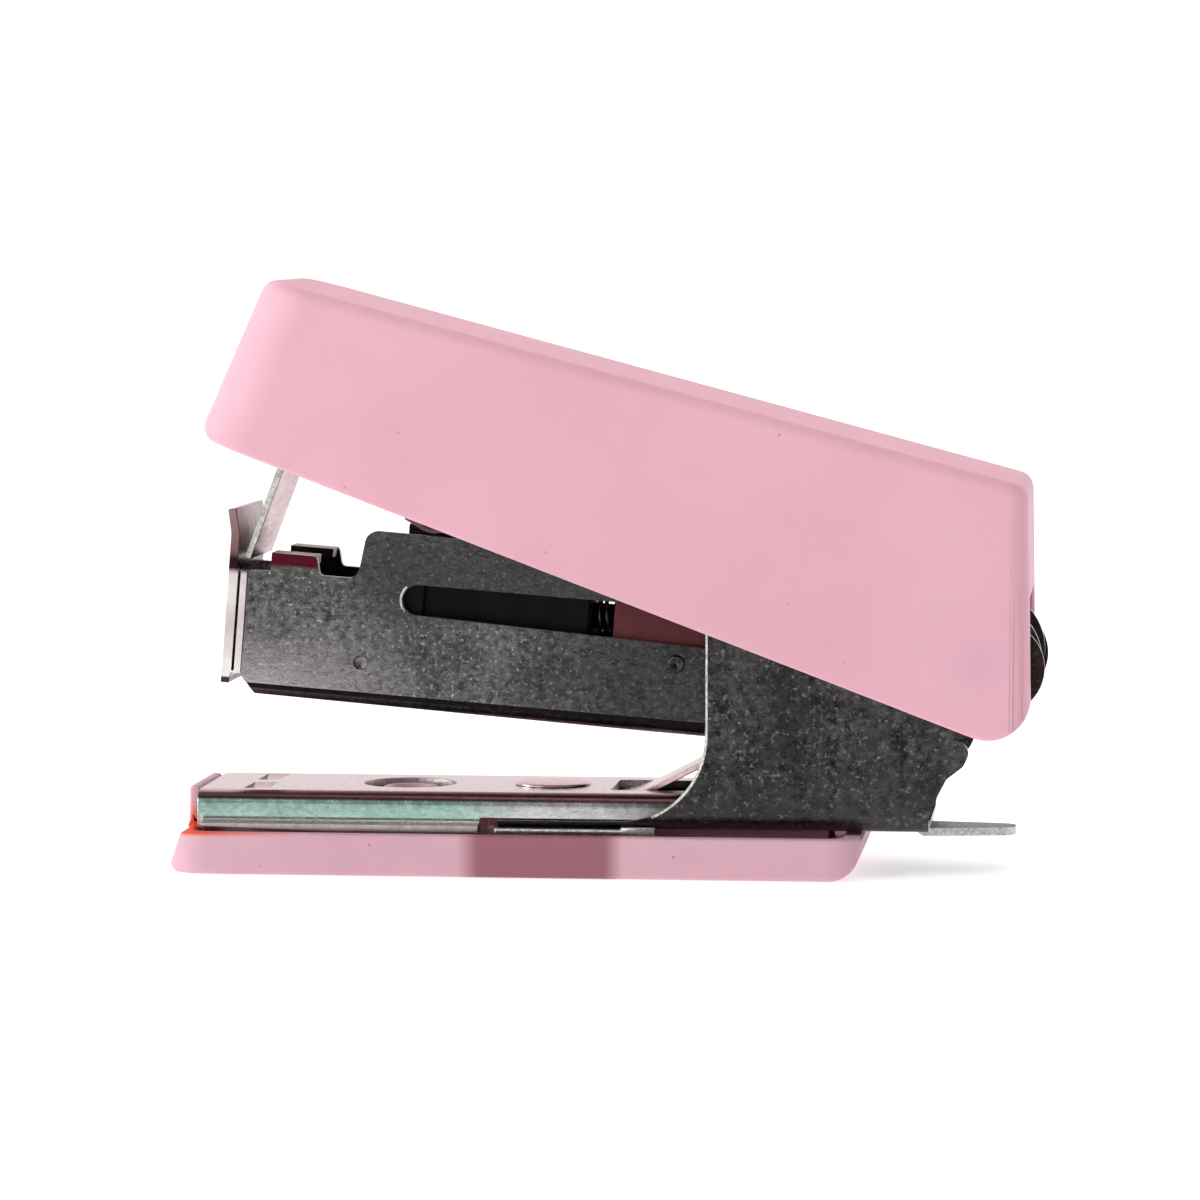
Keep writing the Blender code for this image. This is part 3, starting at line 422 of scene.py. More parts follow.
RETURN_STEEL = plain_nickel("return_leaf", (0.10, 0.045, 0.05), (0.20, 0.12, 0.125), 0.3)
LEAF_STEEL = plain_nickel("leaf_steel", (0.60, 0.40, 0.42), (0.78, 0.58, 0.59), 0.2)
SPRING_STEEL = plain_nickel("spring_steel", (0.70, 0.66, 0.64), (0.95, 0.92, 0.90), 0.25)
# painted shade: the coil inside the magazine is darkened to a dim red
SHADED_COIL_STEEL = plain_nickel("coil_wire_painted_shade", (0.26, 0.17, 0.17), (0.55, 0.43, 0.42), 0.3)
STAPLE_STEEL = plain_nickel("staple_wire", (0.60, 0.60, 0.60), (0.80, 0.80, 0.79), 0.25)


# ---------------------------------------- outlines

def arc_points(centre, radius, start, end):
    """Points along an arc, both ends included."""
    sweep = abs(end - start)
    count = max(2, min(ceil(sweep / ARC_STEP), int(radius * sweep / ARC_CHORD)))
    angles = [start + (end - start) * i / count for i in range(count + 1)]
    return [(centre[0] + radius * cos(a), centre[1] + radius * sin(a)) for a in angles]


def corner_points(before, here, after, radius):
    """A corner, or the arc that rounds it."""
    corner = Vector(here)
    if radius == 0:
        return [tuple(corner)]
    back = (Vector(before) - corner).normalized()
    ahead = (Vector(after) - corner).normalized()
    half = back.angle(ahead) / 2
    centre = corner + (back + ahead).normalized() * radius / sin(half)
    first = corner + back * radius / tan(half) - centre
    last = corner + ahead * radius / tan(half) - centre
    start = atan2(first.y, first.x)
    sweep = (atan2(last.y, last.x) - start + pi) % (2 * pi) - pi
    return arc_points(centre, radius, start, start + sweep)


def rounded(corners):
    """A closed outline through corners given as (a, b, radius)."""
    points = []
    for i, (a, b, radius) in enumerate(corners):
        before = corners[i - 1][:2]
        after = corners[(i + 1) % len(corners)][:2]
        points += corner_points(before, (a, b), after, radius)
    return points


def inset_loop(loop, distance):
    """A closed outline, given anticlockwise, moved inward by a distance."""
    moved = []
    for i, (x, y) in enumerate(loop):
        here = Vector((x, y))
        into = (here - Vector(loop[i - 1])).normalized()
        out = (Vector(loop[(i + 1) % len(loop)]) - here).normalized()
        along = (into + out).normalized()
        normal = Vector((-along.y, along.x))
        moved.append(tuple(here + normal * distance / along.dot(out)))
    return moved


def slab(front, rear, half_width, front_radius, rear_radius):
    """The outline, from above, of a plate with rounded corners."""
    return rounded([(front, -half_width, front_radius), (rear, -half_width, rear_radius),
                    (rear, half_width, rear_radius), (front, half_width, front_radius)])


def both_sides(near, far):
    """The lowest and highest Y of a thing on each side, between two distances from the middle."""
    return (-far, -near), (near, far)


def circle(x, radius):
    turns = [2 * pi * i / ROUND_SIDES for i in range(ROUND_SIDES)]
    return [(x + radius * cos(t), radius * sin(t)) for t in turns]


def bent_path(corners):
    """An open path whose inner corners, given as (a, b, radius), are rounded."""
    points = [corners[0][:2]]
    for before, here, after in zip(corners, corners[1:], corners[2:]):
        points += corner_points(before[:2], here[:2], after[:2], here[2])
    return points + [corners[-1][:2]]


def sheet_outline(corners, thickness):
    """The closed outline of a bent sheet whose middle line follows the corners."""
    path = [Vector(p) for p in bent_path(corners)]
    left = []
    right = []
    for i, point in enumerate(path):
        into = (point - path[i - 1]).normalized() if i else None
        out = (path[i + 1] - point).normalized() if i + 1 < len(path) else None
        along = ((into or out) + (out or into)).normalized()
        normal = Vector((-along.y, along.x))
        stretch = thickness / 2 / max(0.5, along.dot(out or into))
        left.append(tuple(point + normal * stretch))
        right.append(tuple(point - normal * stretch))
    return left + right[::-1]


def folded(half_width, end, web, radius, thickness):
    """The section of a sheet folded in a U, from the heights of its ends and of its web's outer face."""
    wall = half_width - thickness / 2
    middle = web + (thickness / 2 if end > web else -thickness / 2)
    corners = [(-wall, end, 0), (-wall, middle, radius), (wall, middle, radius), (wall, end, 0)]
    return sheet_outline(corners, thickness)


# ---------------------------------------- solids

PLANES = {
    # the outline's first and second axes, and the way it is extruded
    "XZ": Matrix(((1, 0, 0), (0, 0, -1), (0, 1, 0))),
    "XY": Matrix.Identity(3),
    "YZ": Matrix(((0, 0, 1), (1, 0, 0), (0, 1, 0))),
}


def add_object(name, data):
    thing = bpy.data.objects.new(name, data)
    bpy.context.scene.collection.objects.link(thing)
    return thing


def bake(thing, flat=FLAT):
    """Replaces an object or a curve by its finished mesh, welded, with its flat faces whole."""
    bpy.context.view_layer.update()
    graph = bpy.context.evaluated_depsgraph_get()
    mesh = bpy.data.meshes.new_from_object(thing.evaluated_get(graph))
    work = bmesh.new()
    work.from_mesh(mesh)
    bmesh.ops.remove_doubles(work, verts=work.verts, dist=MERGE)
    bmesh.ops.dissolve_degenerate(work, edges=work.edges, dist=MERGE)
    bmesh.ops.recalc_face_normals(work, faces=work.faces)
    if flat:
        bmesh.ops.dissolve_limit(work, angle_limit=flat, verts=work.verts, edges=work.edges,
                                 delimit={"MATERIAL"})
    work.to_mesh(mesh)
    work.free()
    name = thing.name
    bpy.data.objects.remove(thing)
    return add_object(name, mesh)


def paint(thing, finish):
    thing.data.materials.clear()
    thing.data.materials.append(finish)
    return thing


def prism(name, loops, depth, plane="XZ", centre=0.0, finish=EDGE):
    """A flat outline, and any holes after it, extruded to a depth about a middle plane."""
    curve = bpy.data.curves.new(name, "CURVE")
    curve.dimensions = "2D"
    curve.fill_mode = "BOTH"
    curve.extrude = depth / 2 * MM
    for loop in loops:
        spline = curve.splines.new("POLY")
        spline.points.add(len(loop) - 1)
        for point, (a, b) in zip(spline.points, loop):
            point.co = (a * MM, b * MM, 0, 1)
        spline.use_cyclic_u = True
    solid = bake(add_object(name, curve))
    turn = PLANES[plane]
    solid.data.transform(Matrix.Translation(turn @ Vector((0, 0, centre * MM))) @ turn.to_4x4())
    return paint(solid, finish)


def block(name, low, high, finish=EDGE):
    """A box between two corners."""
    outline = [(low[0], low[2]), (high[0], low[2]), (high[0], high[2]), (low[0], high[2])]
    return prism(name, [outline], high[1] - low[1], "XZ", -(low[1] + high[1]) / 2, finish)


def sheet(name, corners, thickness, width, finish):
    """A strip bent along its length, as wide as given across Y."""
    return prism(name, [sheet_outline(corners, thickness)], width, finish=finish)


def run(name, outline, front, rear, finish):
    """An outline across the object, carried from front to rear."""
    return prism(name, [outline], rear - front, "YZ", (rear + front) / 2, finish)


def turned(name, profile, place, axis="Z", finish=EDGE, sides=ROUND_SIDES):
    """A turned piece. The profile is (radius, height) from the top of its axis to the bottom."""
    mesh = bpy.data.meshes.new(name)
    points = [(r * MM, 0, h * MM) for r, h in profile]
    edges = [(i, i + 1) for i in range(len(points) - 1)]
    mesh.from_pydata(points, edges, [])
    piece = add_object(name, mesh)
    screw = piece.modifiers.new("turn", "SCREW")
    screw.axis = "Z"
    screw.angle = 2 * pi
    screw.steps = sides
    screw.render_steps = sides
    screw.use_merge_vertices = True
    screw.merge_threshold = MERGE
    solid = bake(piece)
    turns = {"Z": Matrix.Identity(4), "X": Matrix.Rotation(pi / 2, 4, "Y"),
             "Y": Matrix.Rotation(-pi / 2, 4, "X")}
    solid.data.transform(Matrix.Translation(Vector(place) * MM) @ turns[axis])
    return paint(solid, finish)


def bar(name, radius, start, end, axis, place, finish=EDGE, sides=ROUND_SIDES):
    """A plain round bar along an axis, between two heights on it."""
    profile = [(0, end), (radius, end), (radius, start), (0, start)]
    return turned(name, profile, place, axis, finish, sides)


def cross_hole(radius, x, z, finish=EDGE, reach=9):
    """A cutter for a hole from side to side."""
    return bar("hole", radius, -reach, reach, "Y", (x, 0, z), finish)


def upright_hole(radius, low, high, x, finish=EDGE):
    return bar("hole", radius, low, high, "Z", (x, 0, 0), finish)


def mirrored(profile, middle=0):
    """A profile down to the middle of a turned piece, and the same upside down after it."""
    return profile + [(r, 2 * middle - h) for r, h in reversed(profile)]


def wire(name, points, radius, finish):
    """A round wire through points in millimetres."""
    curve = bpy.data.curves.new(name, "CURVE")
    curve.dimensions = "3D"
    curve.bevel_depth = radius * MM
    curve.bevel_resolution = 4
    curve.use_fill_caps = True
    spline = curve.splines.new("POLY")
    spline.points.add(len(points) - 1)
    for point, place in zip(spline.points, points):
        point.co = (*(c * MM for c in place), 1)
    return paint(bake(add_object(name, curve), flat=0), finish)


def combine(target, *tools, operation="DIFFERENCE"):
    """Cuts, joins or trims a solid with others, which are used up. Cut faces take the tool's finish."""
    for tool in tools:
        modifier = target.modifiers.new(operation.lower(), "BOOLEAN")
        modifier.operation = operation
        modifier.solver = "EXACT"
        modifier.material_mode = "TRANSFER"
        modifier.object = tool
        target = bake(target)
        bpy.data.objects.remove(tool)
    return target


def join(target, *tools):
    return combine(target, *tools, operation="UNION")


def soften(target, width, angle=radians(32)):
    """Rounds the sharp edges of a solid."""
    bevel = target.modifiers.new("round", "BEVEL")
    bevel.width = width * MM
    bevel.segments = 3
    bevel.limit_method = "ANGLE"
    bevel.angle_limit = angle
    bevel.use_clamp_overlap = False
    bevel.miter_outer = "MITER_ARC"
    return bake(target)


def shear(target, width, wanted, finish):
    """Bevels the sharp edges whose middles, in millimetres, are wanted, in the finish of a cut edge."""
    if finish.name not in target.data.materials:
        target.data.materials.append(finish)
    index = list(target.data.materials).index(finish)
    work = bmesh.new()
    work.from_mesh(target.data)
    edges = []
    for edge in work.edges:
        if len(edge.link_faces) == 2 and edge.calc_face_angle() > radians(40):
            middle = (edge.verts[0].co + edge.verts[1].co) / 2 / MM
            if wanted(*middle):
                edges.append(edge)
    bmesh.ops.bevel(work, geom=edges, offset=width * MM, segments=2, profile=0.5, affect="EDGES",
                    material=index, clamp_overlap=False)
    work.to_mesh(target.data)
    work.free()
    return target


def edge_faces(target, finish):
    """Gives the finish of a cut edge to a sheet's two side faces."""
    target.data.materials.append(finish)
    index = len(target.data.materials) - 1
    for face in target.data.polygons:
        if abs(face.normal.y) > 0.9:
            face.material_index = index
    return target


def place(piece, body, slot, node):
    """Moves a finished piece from its body's own frame to the row's, in place of its solids."""
    piece.data.transform(FRAMES[body])
    piece.data.shade_smooth()
    piece.data.set_sharp_from_angle(angle=radians(38))
    weighted = piece.modifiers.new("flat faces", "WEIGHTED_NORMAL")
    weighted.keep_sharp = True
    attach(piece, body)
    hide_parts(node)
    return piece


# ---------------------------------------- base

TRAY_FRONT = tray_low[0] - 0.245
TRAY_REAR = 17.45
TRAY_HALF_WIDTH = tray_high[1]
TRAY_RIM = 2.85
TRAY_FLOOR = 1.6
TRAY_WALL = 1.3
LIP_FRONT = -29.7
LIP_TOP = tray_high[2]
BOSS_X = -14.7
GAP = 0.1
ANVIL_FRONT, ANVIL_REAR = anvil_low[0], anvil_high[0]
ANVIL_TOP = anvil_high[2]
ANVIL_SHEET = 0.6
ANVIL_HALF_WIDTH = 6.1
FLANGE_HALF_WIDTH = anvil_high[1]
FLANGE_REAR = -9.0
FLANGE_BOTTOM = 2.8
WINDOW = (-0.2, 6.2)
CLINCH_X = -24.9
CLINCH_Y = 2.75
GROOVE_RADIUS = 6.5
GROOVE_DEPTH = 0.3
LEAF_SHEET = 0.4
LEAF_RIVET_X = -4.6
ANVIL_RIVET_X = 12.0
RIVET_RADIUS = 1.25
FRAME_FRONT = frame_low[0]
FRAME_REAR = 21.9
FRAME_BOTTOM = 3.1
FRAME_SHEET = 0.55
FRAME_HALF_WIDTH = frame_high[1]
EAR_FRONT = 6.63
EAR_ROUND = 4.5
TONGUE_TIP = 27.8
TONGUE_HALF_WIDTH = 2.25
TONGUE_MIDDLE = 2.7
PIN_RADIUS = 1.25
PIN_HALF_LENGTH = 8.6
RAIL_INNER = 5.4


def base_tray():
    side = rounded([
        (TRAY_FRONT, 0, 0.5), (TRAY_REAR - 0.25, 0, 2.0), (TRAY_REAR, TRAY_RIM, 0.0),
        (TRAY_FRONT + 1.15, TRAY_RIM, 0.0)])
    plan = slab(TRAY_FRONT, TRAY_REAR, TRAY_HALF_WIDTH, 3.0, 2.2)
    tray = prism("tray", [side], 2 * TRAY_HALF_WIDTH, finish=TRAY_PINK)
    tray = combine(tray, prism("trim", [plan], 12, "XY", finish=TRAY_PINK), operation="INTERSECT")
    hollow_front = LIP_FRONT + 0.8
    hollow = slab(hollow_front, TRAY_REAR - TRAY_WALL, TRAY_HALF_WIDTH - TRAY_WALL, 1.5, 1.2)
    tray = combine(tray, prism("hollow", [hollow], 4, "XY", TRAY_FLOOR + 2, TRAY_PINK))
    lip = rounded([(LIP_FRONT, 1.2, 0), (hollow_front + 0.02, 1.2, 0),
                   (hollow_front + 0.02, LIP_TOP, 0.3), (LIP_FRONT, LIP_TOP, 0.3)])
    ribs = [prism("lip", [lip], 8.6, finish=TRAY_PINK)]
    for side in (0, 1):
        for near, far, front, rear, top in ((6.5, 7.1, -27, -10, FLANGE_BOTTOM - GAP),
                                            (3.0, 3.8, -6.5, 15, FRAME_BOTTOM - GAP)):
            low, high = both_sides(near, far)[side]
            ribs.append(block("rib", (front, low, TRAY_FLOOR - 0.5), (rear, high, top), TRAY_PINK))
    tray = join(tray, *ribs)
    boss = turned("boss", [(0, 4.85), (0.85, 4.85), (1.0, 4.95), (1.15, 5.2), (1.35, 5.3), (1.8, 5.28),
                           (2.15, 5.1), (2.3, 4.8), (2.5, 1.0), (0, 1.0)], (BOSS_X, 0, 0), finish=TRAY_PINK)
    tray = join(tray, boss)
    return place(soften(tray, 0.22), "base", "pink_plastic", "base_tray")


def anvil_plate():
    half = ANVIL_SHEET / 2
    wall = ANVIL_HALF_WIDTH - half
    top = ANVIL_TOP - half
    flange = FLANGE_BOTTOM + half
    section = [(-FLANGE_HALF_WIDTH, flange, 0), (-wall - 0.15, flange, 0.6), (-wall, top, 0.7),
               (wall, top, 0.7), (wall + 0.15, flange, 0.6), (FLANGE_HALF_WIDTH, flange, 0)]
    plate = run("anvil", sheet_outline(section, ANVIL_SHEET), ANVIL_FRONT, ANVIL_REAR, ANVIL_STEEL)
    frame_top = FRAME_BOTTOM + FRAME_SHEET
    cutters = [block("trim", (FLANGE_REAR, -9, 0), (ANVIL_REAR + 1, 9, frame_top + GAP)),
               block("trim", (4.5, -9, 0), (ANVIL_REAR + 1, 9, frame_top + 0.7)),
               block("window", (WINDOW[0], -3.3, 4), (WINDOW[1], 3.3, 7))]
    ahead = ANVIL_FRONT - 1
    slant = [(ahead, 2), (ANVIL_FRONT + 0.7, 2), (ANVIL_FRONT + 0.2, 4.2), (ahead, 4.2)]
    wedge = [(ahead, 2), (-19, FLANGE_BOTTOM - 0.01), (ahead, FLANGE_BOTTOM + 0.3)]
    for low, high in both_sides(ANVIL_HALF_WIDTH + 0.1, 9):
        for outline in (slant, wedge):
            cutters.append(prism("slant", [outline], high - low, "XZ", -(low + high) / 2))
    holes = ((BOSS_X, 3.25), (LEAF_RIVET_X, RIVET_RADIUS + PLAY), (ANVIL_RIVET_X, RIVET_RADIUS + PLAY))
    cutters += [upright_hole(radius, 4, 7, x) for x, radius in holes]
    height = ANVIL_TOP + GROOVE_RADIUS - GROOVE_DEPTH
    for y in (-CLINCH_Y, CLINCH_Y):
        cutters.append(bar("groove", GROOVE_RADIUS, -0.8, 0.8, "X", (CLINCH_X, y, height), ANVIL_STEEL, 96))
    plate = combine(plate, *cutters)
    return place(soften(plate, EDGE_ROUND), "base", "nickel_steel", "anvil_plate")


def frame_rails():
    """The turned-down side edges of the floor in front of the ears, bright where they meet the ears."""
    rails = []
    for low, high in both_sides(RAIL_INNER, FRAME_HALF_WIDTH):
        rails.append(block("rail", (-8.0, low, 2.62), (0.8, high, 3.16), FRAME_RAIL))
        rails.append(block("rail_end", (0.8, low, 2.62), (3.2, high, 3.3), EDGE))
    return rails


def rear_frame():
    section = folded(FRAME_HALF_WIDTH, 24, FRAME_BOTTOM, 0.9, FRAME_SHEET)
    body = run("frame", section, -8, 32, FRAME_STEEL)
    floor = FRAME_BOTTOM + FRAME_SHEET / 2
    top = FRAME_BOTTOM + FRAME_SHEET
    ear_round = arc_points((PIVOT_X + 1.25, PIVOT_Z - 0.4), EAR_ROUND - 1.35, radians(-72), radians(90))
    rear = rounded([(FRAME_FRONT, 2, 0), (FRAME_REAR, 2, 0), (FRAME_REAR + 0.1, 4.0, 0),
                    (22.5, 5.5, 0.8), (23.2, 6.85, 0.5), (24.35, 7.75, 0.6), (25.3, 9.8, 0.8)])
    front = rounded([(ear_round[-1][0], ear_round[-1][1], 0), (EAR_FRONT, 18.0, 1.2),
                     (EAR_FRONT, top, 6.0), (FRAME_FRONT, top, 0)])
    side = rear + ear_round[:-1] + front
    body = combine(body, prism("side", [side], 30), operation="INTERSECT")
    body = combine(body, cross_hole(PIN_RADIUS + PLAY, PIVOT_X, PIVOT_Z, reach=12),
                   upright_hole(RIVET_RADIUS + PLAY, 1, 5, LEAF_RIVET_X),
                   upright_hole(RIVET_RADIUS + PLAY, 1, 5, ANVIL_RIVET_X))
    root = FRAME_REAR - 2.4
    path = [(root, floor, 0), (FRAME_REAR - 1.3, floor, 0.5), (FRAME_REAR - 0.4, TONGUE_MIDDLE, 0.5),
            (TONGUE_TIP, TONGUE_MIDDLE, 0)]
    tongue = sheet("tongue", path, FRAME_SHEET, 2 * TONGUE_HALF_WIDTH + 1, FRAME_STEEL)
    plan = rounded([(root, -TONGUE_HALF_WIDTH, 0), (FRAME_REAR, -TONGUE_HALF_WIDTH, 1.0),
                    (TONGUE_TIP, -1.2, 1.1), (TONGUE_TIP, 1.2, 1.1),
                    (FRAME_REAR, TONGUE_HALF_WIDTH, 1.0), (root, TONGUE_HALF_WIDTH, 0)])
    tongue = combine(tongue, prism("plan", [plan], 12, "XY"), operation="INTERSECT")
    body = join(body, tongue, *frame_rails())
    body = shear(body, 0.2, lambda x, y, z: abs(y) > FRAME_HALF_WIDTH - 0.02 and x < EAR_FRONT + 0.4, EDGE)
    return place(body, "base", "dark_steel", "rear_frame")


def leaf_spring():
    middle = ANVIL_TOP - ANVIL_SHEET - GAP - LEAF_SHEET / 2
    path = [(-7.6, middle, 0), (0.9, middle, 9.0), (6.5, 7.5, 3.0), (8.4, 8.95, 0.8), (9.4, 8.8, 0)]
    leaf = sheet("leaf", path, LEAF_SHEET, 6.0, LEAF_STEEL)
    leaf = combine(leaf, upright_hole(RIVET_RADIUS + PLAY, 4, 6, LEAF_RIVET_X))
    leaf = place(soften(leaf, EDGE_ROUND), "base", "spring_steel", "leaf_spring")
    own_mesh(leaf)
    return leaf


def base_rivet(name, node, x, head_radius, head_height):
    underside = ANVIL_TOP + 0.04
    frame_under = FRAME_BOTTOM - 0.03
    foot = frame_under - 0.55
    dome = [(head_radius * sin(t), underside + 0.1 + (head_height - 0.1) * cos(t))
            for t in (radians(10 * i) for i in range(10))]
    profile = [(0, underside + head_height)] + dome[1:] + [
        (head_radius, underside), (RIVET_RADIUS, underside), (RIVET_RADIUS, frame_under),
        (2.0, frame_under), (1.8, foot), (0, foot)]
    rivet = turned(name, profile, (x, 0, 0), finish=NICKEL)
    return place(rivet, "base", "nickel_steel", node)


def pivot_pin():
    end = PIN_HALF_LENGTH
    half = [(0, end), (PIN_RADIUS - 0.2, end), (PIN_RADIUS - 0.06, end - 0.06), (PIN_RADIUS, end - 0.2)]
    pin = turned("pin", mirrored(half), (PIVOT_X, 0, PIVOT_Z), "Y", SPRING_STEEL)
    return place(pin, "base", "spring_steel", "pivot_pin")


# ---------------------------------------- magazine

CHANNEL_FRONT = -51.0
CHANNEL_BOTTOM = -7.0
CHANNEL_HALF_WIDTH = channel_high[1]
CHANNEL_SHEET = 0.6
FOOT_RISE = 0.3
FOOT_LEVEL = -20.0              # the foot is level behind this
CREASE_DEPTH = 0.14
SLOT_FRONT = -40.1
SLOT_TOP = 1.83
SLOT_BOTTOM = -0.3
FINGER_REAR = -25.1
TABS = (-49.45, -46.3)
FRONT_PLATE_OUTER = -52.4
FRONT_PLATE_SHEET = 0.6
STRIP_FRONT = -49.45
STRIP_REAR = -41.2
STAPLE_HALF_WIDTH = 4.65
STAPLE_CROWN = -1.1
STAPLE_WIRE = 0.5
ROD_Z = 0.35
ROD_RADIUS = 0.5
BRACKET_FRONT = -25.4
BRACKET_REAR = -6.1
BRACKET_TOP = 3.4
BRACKET_HALF_WIDTH = 4.7
BRACKET_SHEET = 0.5
BRACKET_RIVET = (-20.8, -2.05)
BRACKET_RIVET_RADIUS = 0.4
DIMPLE = (-42.7, 0, -3.9)
DIMPLE_RADIUS = 0.5
PUSHER_FRONT = -41.1
PUSHER_STEP = -38.7
PUSHER_REAR = -27.2
PUSHER_TOP = 2.1
SPIGOT_REAR = -25.2
SPRING_PITCH = 0.73
SPRING_RADIUS = 1.15


def foot_height(x):
    """The lower edge of the channel, which rises a little towards the front."""
    return CHANNEL_BOTTOM + FOOT_RISE * max(0, FOOT_LEVEL - x) / (FOOT_LEVEL - CHANNEL_FRONT)


def channel_side():
    """The outline of the channel's walls, with the staple window open at its rear end."""
    slot_radius = (SLOT_TOP - SLOT_BOTTOM) / 2
    slot_centre = (SLOT_FRONT + slot_radius, (SLOT_TOP + SLOT_BOTTOM) / 2)
    toe = foot_height(CHANNEL_FRONT)
    front = rounded([(FOOT_LEVEL, CHANNEL_BOTTOM - 0.01, 0), (CHANNEL_FRONT + 1, toe, 0),
                     (CHANNEL_FRONT, toe + 1.2, 0.3), (CHANNEL_FRONT, 1.9, 0.3),
                     (TABS[0], 1.9, 0), (TABS[0], 3.2, 0), (TABS[1], 3.2, 0.3),
                     (TABS[1] + 0.3, 1.9, 0.3), (-43.35, 1.9, 0.8), (-42.9, 5.3, 0.9),
                     (FINGER_REAR, 5.2, 0.5), (FINGER_REAR, SLOT_TOP, 0.3),
                     (slot_centre[0], SLOT_TOP, 0)])
    slot = arc_points(slot_centre, slot_radius, radians(96), radians(264))
    rear_round = arc_points((0, 0), 4.2, radians(100), radians(-50))
    rear = rounded([(slot_centre[0], SLOT_BOTTOM, 0), (-9.0, SLOT_BOTTOM - 0.8, 2.0),
                    (-5.0, 3.6, 2.0), (rear_round[0][0], rear_round[0][1], 0)])
    heel = rounded([(rear_round[-1][0], rear_round[-1][1], 0), (-3.0, CHANNEL_BOTTOM, 1.0),
                    (-6.0, CHANNEL_BOTTOM - 0.01, 0)])
    return front + slot + rear + rear_round[1:-1] + heel


def channel_creases():
    """Cutters for the pressed crease along each wall's foot, which widens and rises to the rear; their dark
    finish is painted shade in the crease.
    """
    bends = ((CHANNEL_FRONT + 0.3, 0.42, 0.76), (FOOT_LEVEL, 0.68, 1.02), (-5, 0.68, 1.02))
    outline = [(x, foot_height(x) + bottom) for x, bottom, top in bends]
    outline += [(x, foot_height(x) + top) for x, bottom, top in reversed(bends)]
    depth = 1 + CREASE_DEPTH
    middle = CHANNEL_HALF_WIDTH + 1 - depth / 2
    return [prism("crease", [outline], depth, "XZ", sign * middle, SEAM_AND_CREASE_SHADE) for sign in (-1, 1)]


def magazine_channel():
    face = CHANNEL_HALF_WIDTH
    section = folded(face, 9, CHANNEL_BOTTOM, 0.9, CHANNEL_SHEET)
    channel = run("channel", section, -59, 11, CHANNEL_STEEL)
    channel = combine(channel, prism("side", [channel_side()], 30), operation="INTERSECT")
    tabs = [block("tab", (TABS[0], low, 2.6), (TABS[1] - 0.1, high, 3.2), CHANNEL_STEEL)
            for low, high in both_sides(2.7, face)]
    channel = join(channel, *tabs)
    right = [(0, 9), (DIMPLE_RADIUS, 9), (DIMPLE_RADIUS, face), (0.42, face - 0.25), (0, face - 0.4)]
    left = [(r, -h) for r, h in reversed(right)]
    dimples = [turned("dimple", profile, DIMPLE, "Y", CHANNEL_STEEL) for profile in (right, left)]
    channel = combine(channel, block("exit", (CHANNEL_FRONT - 1, -4.8, -8), (STRIP_FRONT + 0.15, 4.8, -5)),
                      cross_hole(PIN_RADIUS + PLAY, 0, 0),
                      cross_hole(BRACKET_RIVET_RADIUS + 0.07, *BRACKET_RIVET), *dimples)
    channel = combine(channel, *channel_creases(), block("far_corner", (-43.8, 3, 4.2), (-41.4, 9, 7)))
    channel = shear(channel, 0.2, lambda x, y, z: abs(y) > face - 0.02 and abs(x - SLOT_FRONT - 0.1) < 0.3
                    and SLOT_BOTTOM < z < SLOT_TOP, EDGE)
    return place(channel, "magazine", "magazine_steel", "magazine_channel")


def front_plate():
    middle = FRONT_PLATE_OUTER + FRONT_PLATE_SHEET / 2
    path = [(middle, -6.1, 0), (middle, 4.3, 2.0), (middle - 0.35, 6.0, 0)]
    plate = sheet("nose", path, FRONT_PLATE_SHEET, 2 * CHANNEL_HALF_WIDTH, NOSE_STEEL)
    cheeks = [block("cheek", (middle, low, -5.4), (CHANNEL_FRONT - 0.06, high, 1.8), NOSE_STEEL)
              for low, high in both_sides(4.8, CHANNEL_HALF_WIDTH)]
    plate = join(plate, *cheeks)
    seam = FRONT_PLATE_OUTER + FRONT_PLATE_SHEET + 0.1
    seams = [block("seam", (seam, low, -5.2), (seam + 0.16, high, 1.7), SEAM_AND_CREASE_SHADE)
             for low, high in both_sides(CHANNEL_HALF_WIDTH - 0.1, 9)]
    plate = combine(plate, *seams)
    return place(soften(plate, EDGE_ROUND), "magazine", "nickel_steel", "front_plate")


def rear_bracket():
    section = folded(BRACKET_HALF_WIDTH, -4.9, BRACKET_TOP, 0.6, BRACKET_SHEET)
    bracket = run("bracket", section, BRACKET_FRONT, BRACKET_REAR, SHADED_BRACKET_STEEL)
    wall = BRACKET_HALF_WIDTH - BRACKET_SHEET / 2
    top = BRACKET_TOP - BRACKET_SHEET / 2
    web = block("web", (BRACKET_REAR - 0.5, -wall, -2.5), (BRACKET_REAR, wall, top), SHADED_BRACKET_STEEL)
    bracket = join(bracket, web)
    bracket = combine(bracket, bar("hole", ROD_RADIUS + PLAY, -9, -4, "X", (0, 0, ROD_Z), SHADED_BRACKET_STEEL),
                      cross_hole(BRACKET_RIVET_RADIUS + 0.07, *BRACKET_RIVET, SHADED_BRACKET_STEEL))
    return place(soften(bracket, EDGE_ROUND), "magazine", "dark_steel", "rear_bracket")


def bracket_rivet(name, node, side):
    """Rivet with a punched hollow in its head; side is -1 or 1."""
    head = CHANNEL_HALF_WIDTH + 0.05
    shank = BRACKET_RIVET_RADIUS
    profile = [(0, head - 0.2), (0.15, head - 0.17), (0.3, head), (0.38, head + 0.09), (0.46, head + 0.11),
               (0.55, head + 0.07), (shank + 0.2, head), (shank, head), (shank, 4.25), (0, 4.25)]
    rivet = turned(name, profile, (0, 0, 0), "Y", CHANNEL_STEEL)
    turn = Matrix.Rotation(0 if side > 0 else pi, 4, "X")
    spot = Vector((BRACKET_RIVET[0], 0, BRACKET_RIVET[1])) * MM
    rivet.data.transform(Matrix.Translation(spot) @ turn)
    return place(rivet, "magazine", "magazine_steel", node)


